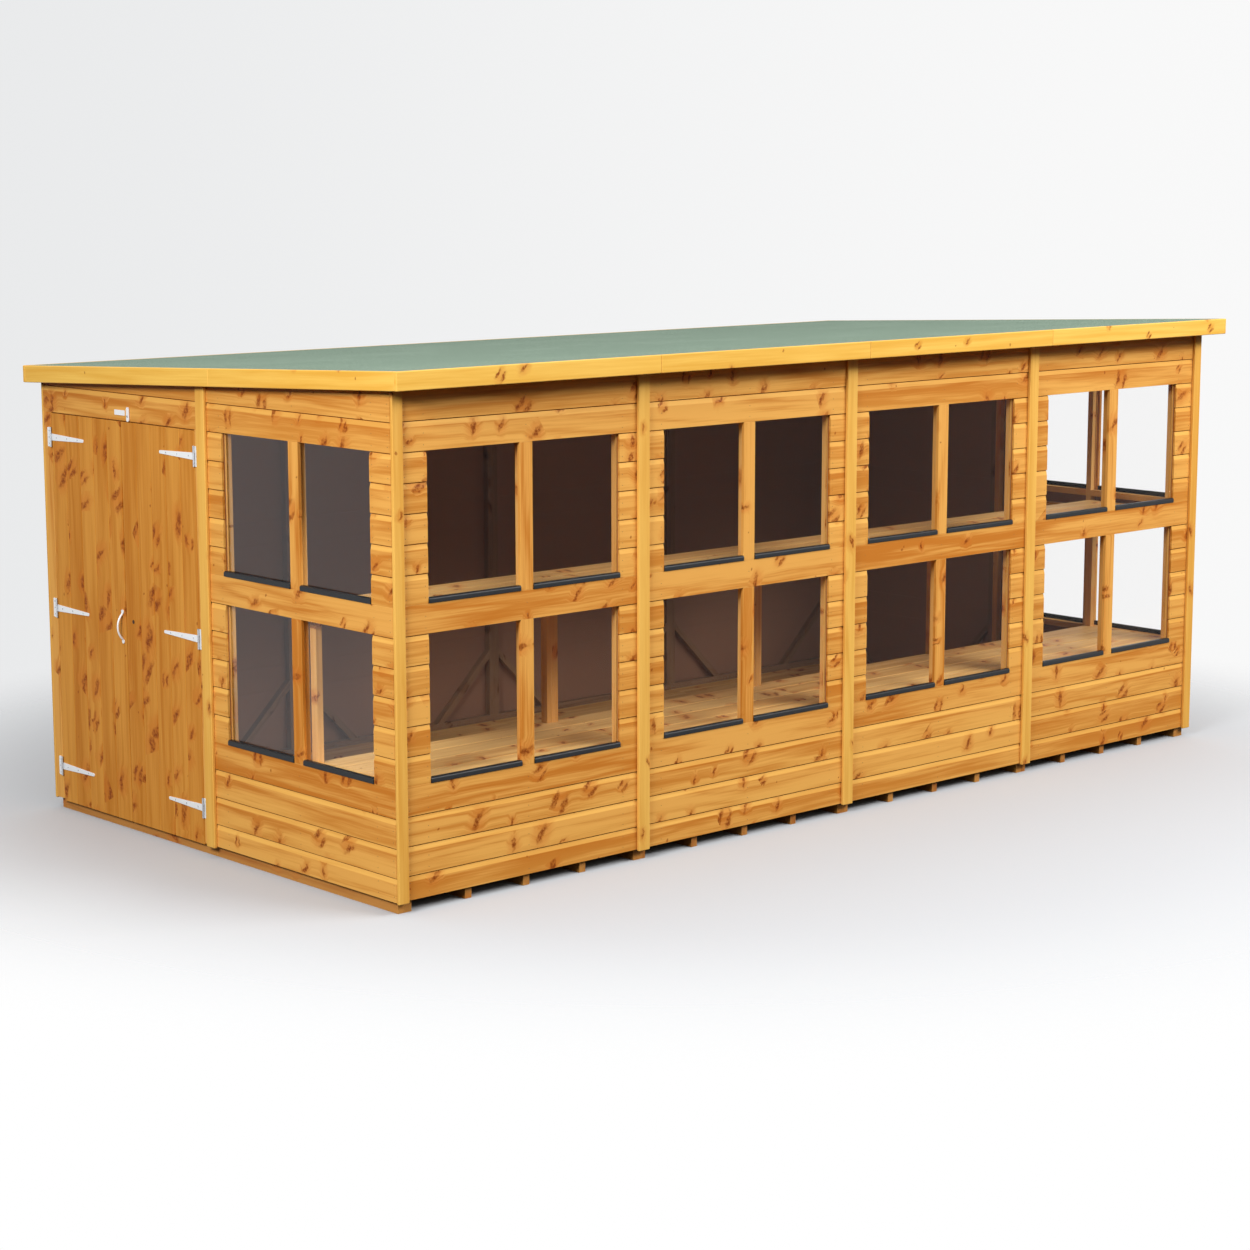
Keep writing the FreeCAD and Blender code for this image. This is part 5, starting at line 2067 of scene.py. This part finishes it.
@dataclass
class DoorFurniture:
    """Pull handle, lock, keeper, bare plate and turn button."""

    iron: Ironmongery
    left: DoorLeaf
    right: DoorLeaf
    handle_bow: float = 0.023
    handle_bar: float = 0.0045
    handle_foot: float = 0.009
    handle_foot_height: float = 0.004
    handle_foot_rim: float = 0.0012
    escutcheon: float = 0.008
    escutcheon_height: float = 0.0015
    escutcheon_rim: float = 0.0004
    escutcheon_back: float = 0.0001
    keyhole_height: float = 0.903
    keyhole_inset: float = 0.055
    keyhole_share: float = 0.5
    keyhole_stretch: Triple = (0.75, 1.0, 1.2)
    keyhole_reach: float = 0.0035
    keyhole_depth: float = 0.0012
    lock_depth: float = 0.016
    lock_edge: float = 0.002
    plate_corner: float = 0.003
    plate_rim: float = 0.0005
    button_round: float = 0.98
    button_rim: float = 0.001
    button_collar: float = 0.006
    button_screw: float = 0.005
    button_screw_height: float = 0.002

    def handle(self) -> Piece:
        """Bends a round bar into a bow between two feet.

        Returns:
            The handle.
        """
        low, high = LEFT.box("pull_handle")
        along = (low.x + high.x) / 2
        middle = (low.z + high.z) / 2
        half = (high.z - low.z) / 2 - 2 * self.handle_foot
        radius = (half ** 2 + self.handle_bow ** 2) / (2 * self.handle_bow)
        swing = math.asin(half / radius)
        start = Vector((along, -self.handle_foot_height, middle - half))
        centre = Vector((along, -self.handle_foot_height - self.handle_bow + radius, middle))
        bpy.ops.mesh.primitive_circle_add(
            vertices=16, radius=self.handle_bar, fill_type="NGON", location=start, rotation=(swing, 0, 0)
        )
        bow = applied("bow")
        with editing(bow):
            pick_all()
            bpy.ops.mesh.spin(steps=30, angle=2 * swing, center=centre, axis=(1, 0, 0))
            pick_all()
            bpy.ops.mesh.remove_doubles(threshold=TOUCH)
            bpy.ops.mesh.normals_make_consistent(inside=False)
        parts = [bow]
        for height in (low.z + self.handle_foot, high.z - self.handle_foot):
            face = Vector((along, -self.handle_foot_height, height))
            foot = Vector((along, 0, height))
            parts.append(rod("foot", foot, face, self.handle_foot, rim=self.handle_foot_rim))
        return joined("door_pull", parts)

    def lock_parts(self) -> tuple[Piece, Piece]:
        """Makes the lock's case inside and its keyhole plate outside.

        Returns:
            The lock, with its keyhole dark, and the keeper on the other leaf.
        """
        low, high = LEFT.box("door_lock")
        case = block("case", Vector((low.x, high.y - self.lock_depth, low.z)), high)
        keeper = block("lock_keep", *LEFT.box("lock_keeper"))
        for piece in (case, keeper):
            with editing(piece):
                pick_all()
                ease(self.lock_edge, 3)
        along = self.right.meeting_edge - self.right.side.value * self.keyhole_inset
        foot = Vector((along, 0, self.keyhole_height))
        face = Vector((along, -self.escutcheon_height, self.keyhole_height))
        plate = rod("escutcheon", foot, face, self.escutcheon, sides=28, rim=self.escutcheon_rim)
        with editing(plate):
            pick(plate, Element.FACE, lambda at: near(at.y, -self.escutcheon_height))
            bpy.ops.mesh.inset(thickness=self.escutcheon * self.keyhole_share)
            bpy.ops.transform.resize(value=self.keyhole_stretch, center_override=face)
            inward = (0, self.keyhole_depth, 0)
            bpy.ops.mesh.extrude_region_move(TRANSFORM_OT_translate={"value": inward})
        for finish in (DARK_BRASS, KEYHOLE_DARK):
            plate.data.materials.append(finish.material())
        # Painted shade: the keyhole's faces take the near-black finish, since the hole is only a shallow
        # recess
        for patch in plate.data.polygons:
            beside = abs((patch.center - foot).x)
            is_dark = beside < self.keyhole_reach and patch.center.y < -self.escutcheon_back
            patch.material_index = 1 if is_dark else 0
        case.data.materials.append(ZINC.material())
        return joined("door_lock_set", [case, plate]), keeper

    def button(self) -> Piece:
        """Makes the turn button, a bar with round ends.

        Returns:
            The button.
        """
        low, high = LEFT.box("turn_button")
        piece = block("door_button", low, high)
        radius = (high.x - low.x) / 2
        with editing(piece):
            ease_corners(piece, (low.x, high.x), (low.z, high.z), radius * self.button_round, 8)
            ease_face(piece, low.y, self.button_rim, 3)
        return piece

    def bare_plate(self) -> Piece:
        """Makes the bare plate, with rounded corners.

        Returns:
            The plate.
        """
        low, high = LEFT.box("bare_plate")
        piece = block("plain_plate", low, high)
        with editing(piece):
            ease_corners(piece, (low.x, high.x), (low.z, high.z), self.plate_corner, 4)
            ease_face(piece, low.y, self.plate_rim, 2)
        return piece

    def button_screw_parts(self) -> list[Piece]:
        """Makes the collar behind the turn button and the screw head before it."""
        low, high = LEFT.box("turn_button")
        along = (low.x + high.x) / 2
        pivot = frame_height("turn_button_pivot")
        foot = Vector((along, 0, pivot))
        collar = rod("collar", foot, Vector((along, high.y, pivot)), self.button_collar, sides=20)
        head = self.iron.screw_head(self.button_screw, self.button_screw_height)
        head.data.transform(Matrix.Translation((along, low.y, pivot)))
        for piece in (collar, head):
            piece.data.transform(LEFT.matrix())
        return [collar, head]

    def build(self) -> None:
        """Builds and dresses the furniture, and what the hinges leave on the posts."""
        plates = []
        pins = []
        screws = self.button_screw_parts()
        for leaf in (self.left, self.right):
            leaf_plates, leaf_pins, leaf_screws = leaf.post_parts()
            plates += leaf_plates
            pins += leaf_pins
            screws += leaf_screws
        dress(joined("post_hinge_plates", plates), WHITE_METAL, "shed", "white_metal", "hinge_plates")
        dress(joined("barrel_pins", pins), ZINC, "shed", "zinc_steel", "hinge_pins")
        dress(joined("post_screws", screws), ZINC, "shed", "zinc_steel", "frame_screws")
        lock, keeper = self.lock_parts()
        rows = (
            (lock, ZINC, "right_door", "zinc_steel", "door_lock"),
            (keeper, ZINC, "left_door", "zinc_steel", "lock_keeper"),
            (self.bare_plate(), WHITE_METAL, "shed", "white_metal", "bare_plate"),
            (self.button(), WHITE_METAL, "button", "white_metal", "turn_button"),
            (self.handle(), WHITE_METAL, "left_door", "white_metal", "pull_handle"),
        )
        for piece, finish, body, slot, node in rows:
            piece.data.transform(LEFT.matrix())
            dress(piece, finish, body, slot, node)


def frame_height(joint: str) -> float:
    """Height of a joint's axis, as the record gives it."""
    heights = {entry["name"]: entry["pos_m"][2] for entry in frame["joints"]}
    return heights[joint]


# Studio


@dataclass
class Studio:
    """A pale floor that fades into a pale backdrop, soft light and the camera."""

    floor_size: float = 60.0
    floor_seen: Colour = shown(194, 196, 199)
    floor_bounce: Colour = shown(60, 62, 64)
    fade_from: float = 2.6
    fade_to: float = 4.4
    backdrop_left: Colour = shown(233, 234, 235)
    backdrop_right: Colour = shown(249, 249, 249)
    ground: Colour = shown(255, 255, 255)
    ground_fade: Span = (-0.19, -0.29)
    side_fade: Span = (0.45, 0.85)
    sky: Colour = shown(255, 255, 255)
    sky_low: float = 0.02
    sky_high: float = 1.05
    key_power: float = 545.0
    key_size: Span = (3.0, 2.0)
    key_place: Triple = (-8.5, -3.5, 4.8)
    fill_power: float = 590.0
    fill_size: Span = (7.0, 2.0)
    fill_place: Triple = (3.2, -7.0, 5.5)
    aim: Triple = (0.0, 0.0, 1.0)
    camera_place: Triple = (-8.56471, -9.17691, 2.77701)
    azimuth: float = 0.73879
    fall: float = 0.16533
    roll: float = -0.0014
    lens: float = 79.438
    sensor: float = 36.0

    def floor(self) -> None:
        """Lays the floor, which is clear far away so that the backdrop shows there."""
        bpy.ops.mesh.primitive_plane_add(size=self.floor_size)
        piece = applied("studio_floor")
        graph = Graph(bpy.data.materials.new("studio_floor"))
        far = graph.fade(graph.length(graph.place()), self.fade_from, self.fade_to)
        colour = graph.mix(graph.looked_at(), self.floor_bounce, self.floor_seen)
        paper = graph.add("ShaderNodeBsdfDiffuse", {"Color": colour})
        clear = graph.add("ShaderNodeBsdfTransparent", {})
        shader = graph.add("ShaderNodeMixShader", {0: far, 1: paper.outputs[0], 2: clear.outputs[0]})
        piece.data.materials.append(graph.close(shader.outputs[0]))
        piece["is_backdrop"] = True

    def world(self) -> None:
        """Lights the shed softly from above, and shows the backdrop to the camera, metal and glass."""
        world = bpy.data.worlds.new("studio")
        graph = Graph(world)
        direction = graph.add("ShaderNodeTexCoord", {}).outputs["Generated"]
        parts = graph.add("ShaderNodeSeparateXYZ", {0: direction}).outputs
        height = graph.fade(parts["Z"], 0.0, 1.0)
        strength = graph.sum("MULTIPLY_ADD", height, self.sky_high - self.sky_low, self.sky_low)
        light = graph.add("ShaderNodeBackground", {"Color": self.sky, "Strength": strength})
        side = graph.fade(parts["X"], *self.side_fade)
        colour = graph.mix(side, self.backdrop_left, self.backdrop_right)
        colour = graph.mix(graph.fade(parts["Z"], *self.ground_fade), colour, self.ground)
        seen = graph.add("ShaderNodeBackground", {"Color": colour, "Strength": 1.0})
        looked_at = graph.looked_at()
        shader = graph.add("ShaderNodeMixShader", {0: looked_at, 1: light.outputs[0], 2: seen.outputs[0]})
        graph.close(shader.outputs[0])
        bpy.context.scene.world = world

    def lamp(self, name: str, power: float, size: Span, place: Vector) -> None:
        """Hangs a large soft lamp that faces the shed.

        Args:
            name: The lamp's name.
            power: Its power in watts.
            size: The width and height of its face.
            place: Where it hangs.
        """
        lamp = bpy.data.lights.new(name, "AREA")
        lamp.energy = power
        lamp.shape = "RECTANGLE"
        lamp.size, lamp.size_y = size
        piece = bpy.data.objects.new(name, lamp)
        turn = (Vector(self.aim) - place).to_track_quat("-Z", "Y")
        piece.matrix_world = Matrix.Translation(place) @ turn.to_matrix().to_4x4()
        bpy.context.collection.objects.link(piece)

    def camera(self) -> None:
        """Stands the camera where the picture was taken from."""
        level = math.cos(self.fall)
        forward = Vector((
            math.sin(self.azimuth) * level,
            math.cos(self.azimuth) * level,
            -math.sin(self.fall),
        ))
        right = forward.cross(Vector((0, 0, 1))).normalized()
        up = right.cross(forward)
        across = right * math.cos(self.roll) + up * math.sin(self.roll)
        upward = up * math.cos(self.roll) - right * math.sin(self.roll)
        turn = Matrix((across, upward, -forward)).transposed().to_4x4()
        camera = bpy.data.cameras.new("camera")
        camera.lens = self.lens
        camera.sensor_width = self.sensor
        piece = bpy.data.objects.new("camera", camera)
        piece.matrix_world = Matrix.Translation(self.camera_place) @ turn
        bpy.context.collection.objects.link(piece)
        bpy.context.scene.camera = piece

    def build(self) -> None:
        """Sets up the floor, the light and the camera."""
        bpy.context.scene.view_settings.view_transform = "Standard"
        self.floor()
        self.world()
        self.lamp("key", self.key_power, self.key_size, Vector(self.key_place))
        self.lamp("fill", self.fill_power, self.fill_size, Vector(self.fill_place))
        self.camera()


def write_sizes() -> None:
    """Works out the frame's box and the finished model's box, as lists of corners."""
    boxes = {"cad": CAD_BOX, "visual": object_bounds()}
    lists = {name: [list(corner) for corner in box] for name, box in boxes.items()}


def main() -> None:
    """Builds the shed from the floor up, then the doors and the studio."""
    logging.basicConfig(level=logging.INFO, format="%(message)s")
    yard = Yard()
    iron = Ironmongery()
    Floor(yard).build()
    Framing(yard).build()
    Cladding(yard).build()
    Windows(yard).build()
    CoverStrips(yard).build()
    Roof(yard).build()
    Bench(yard).build()
    left = DoorLeaf(yard, iron, Side.LEFT)
    right = DoorLeaf(yard, iron, Side.RIGHT)
    left.build()
    right.build()
    DoorFurniture(iron, left, right).build()
    yard.clear()
    iron.clear()
    Studio().build()
    write_sizes()


if __name__ == "__main__":
    main()
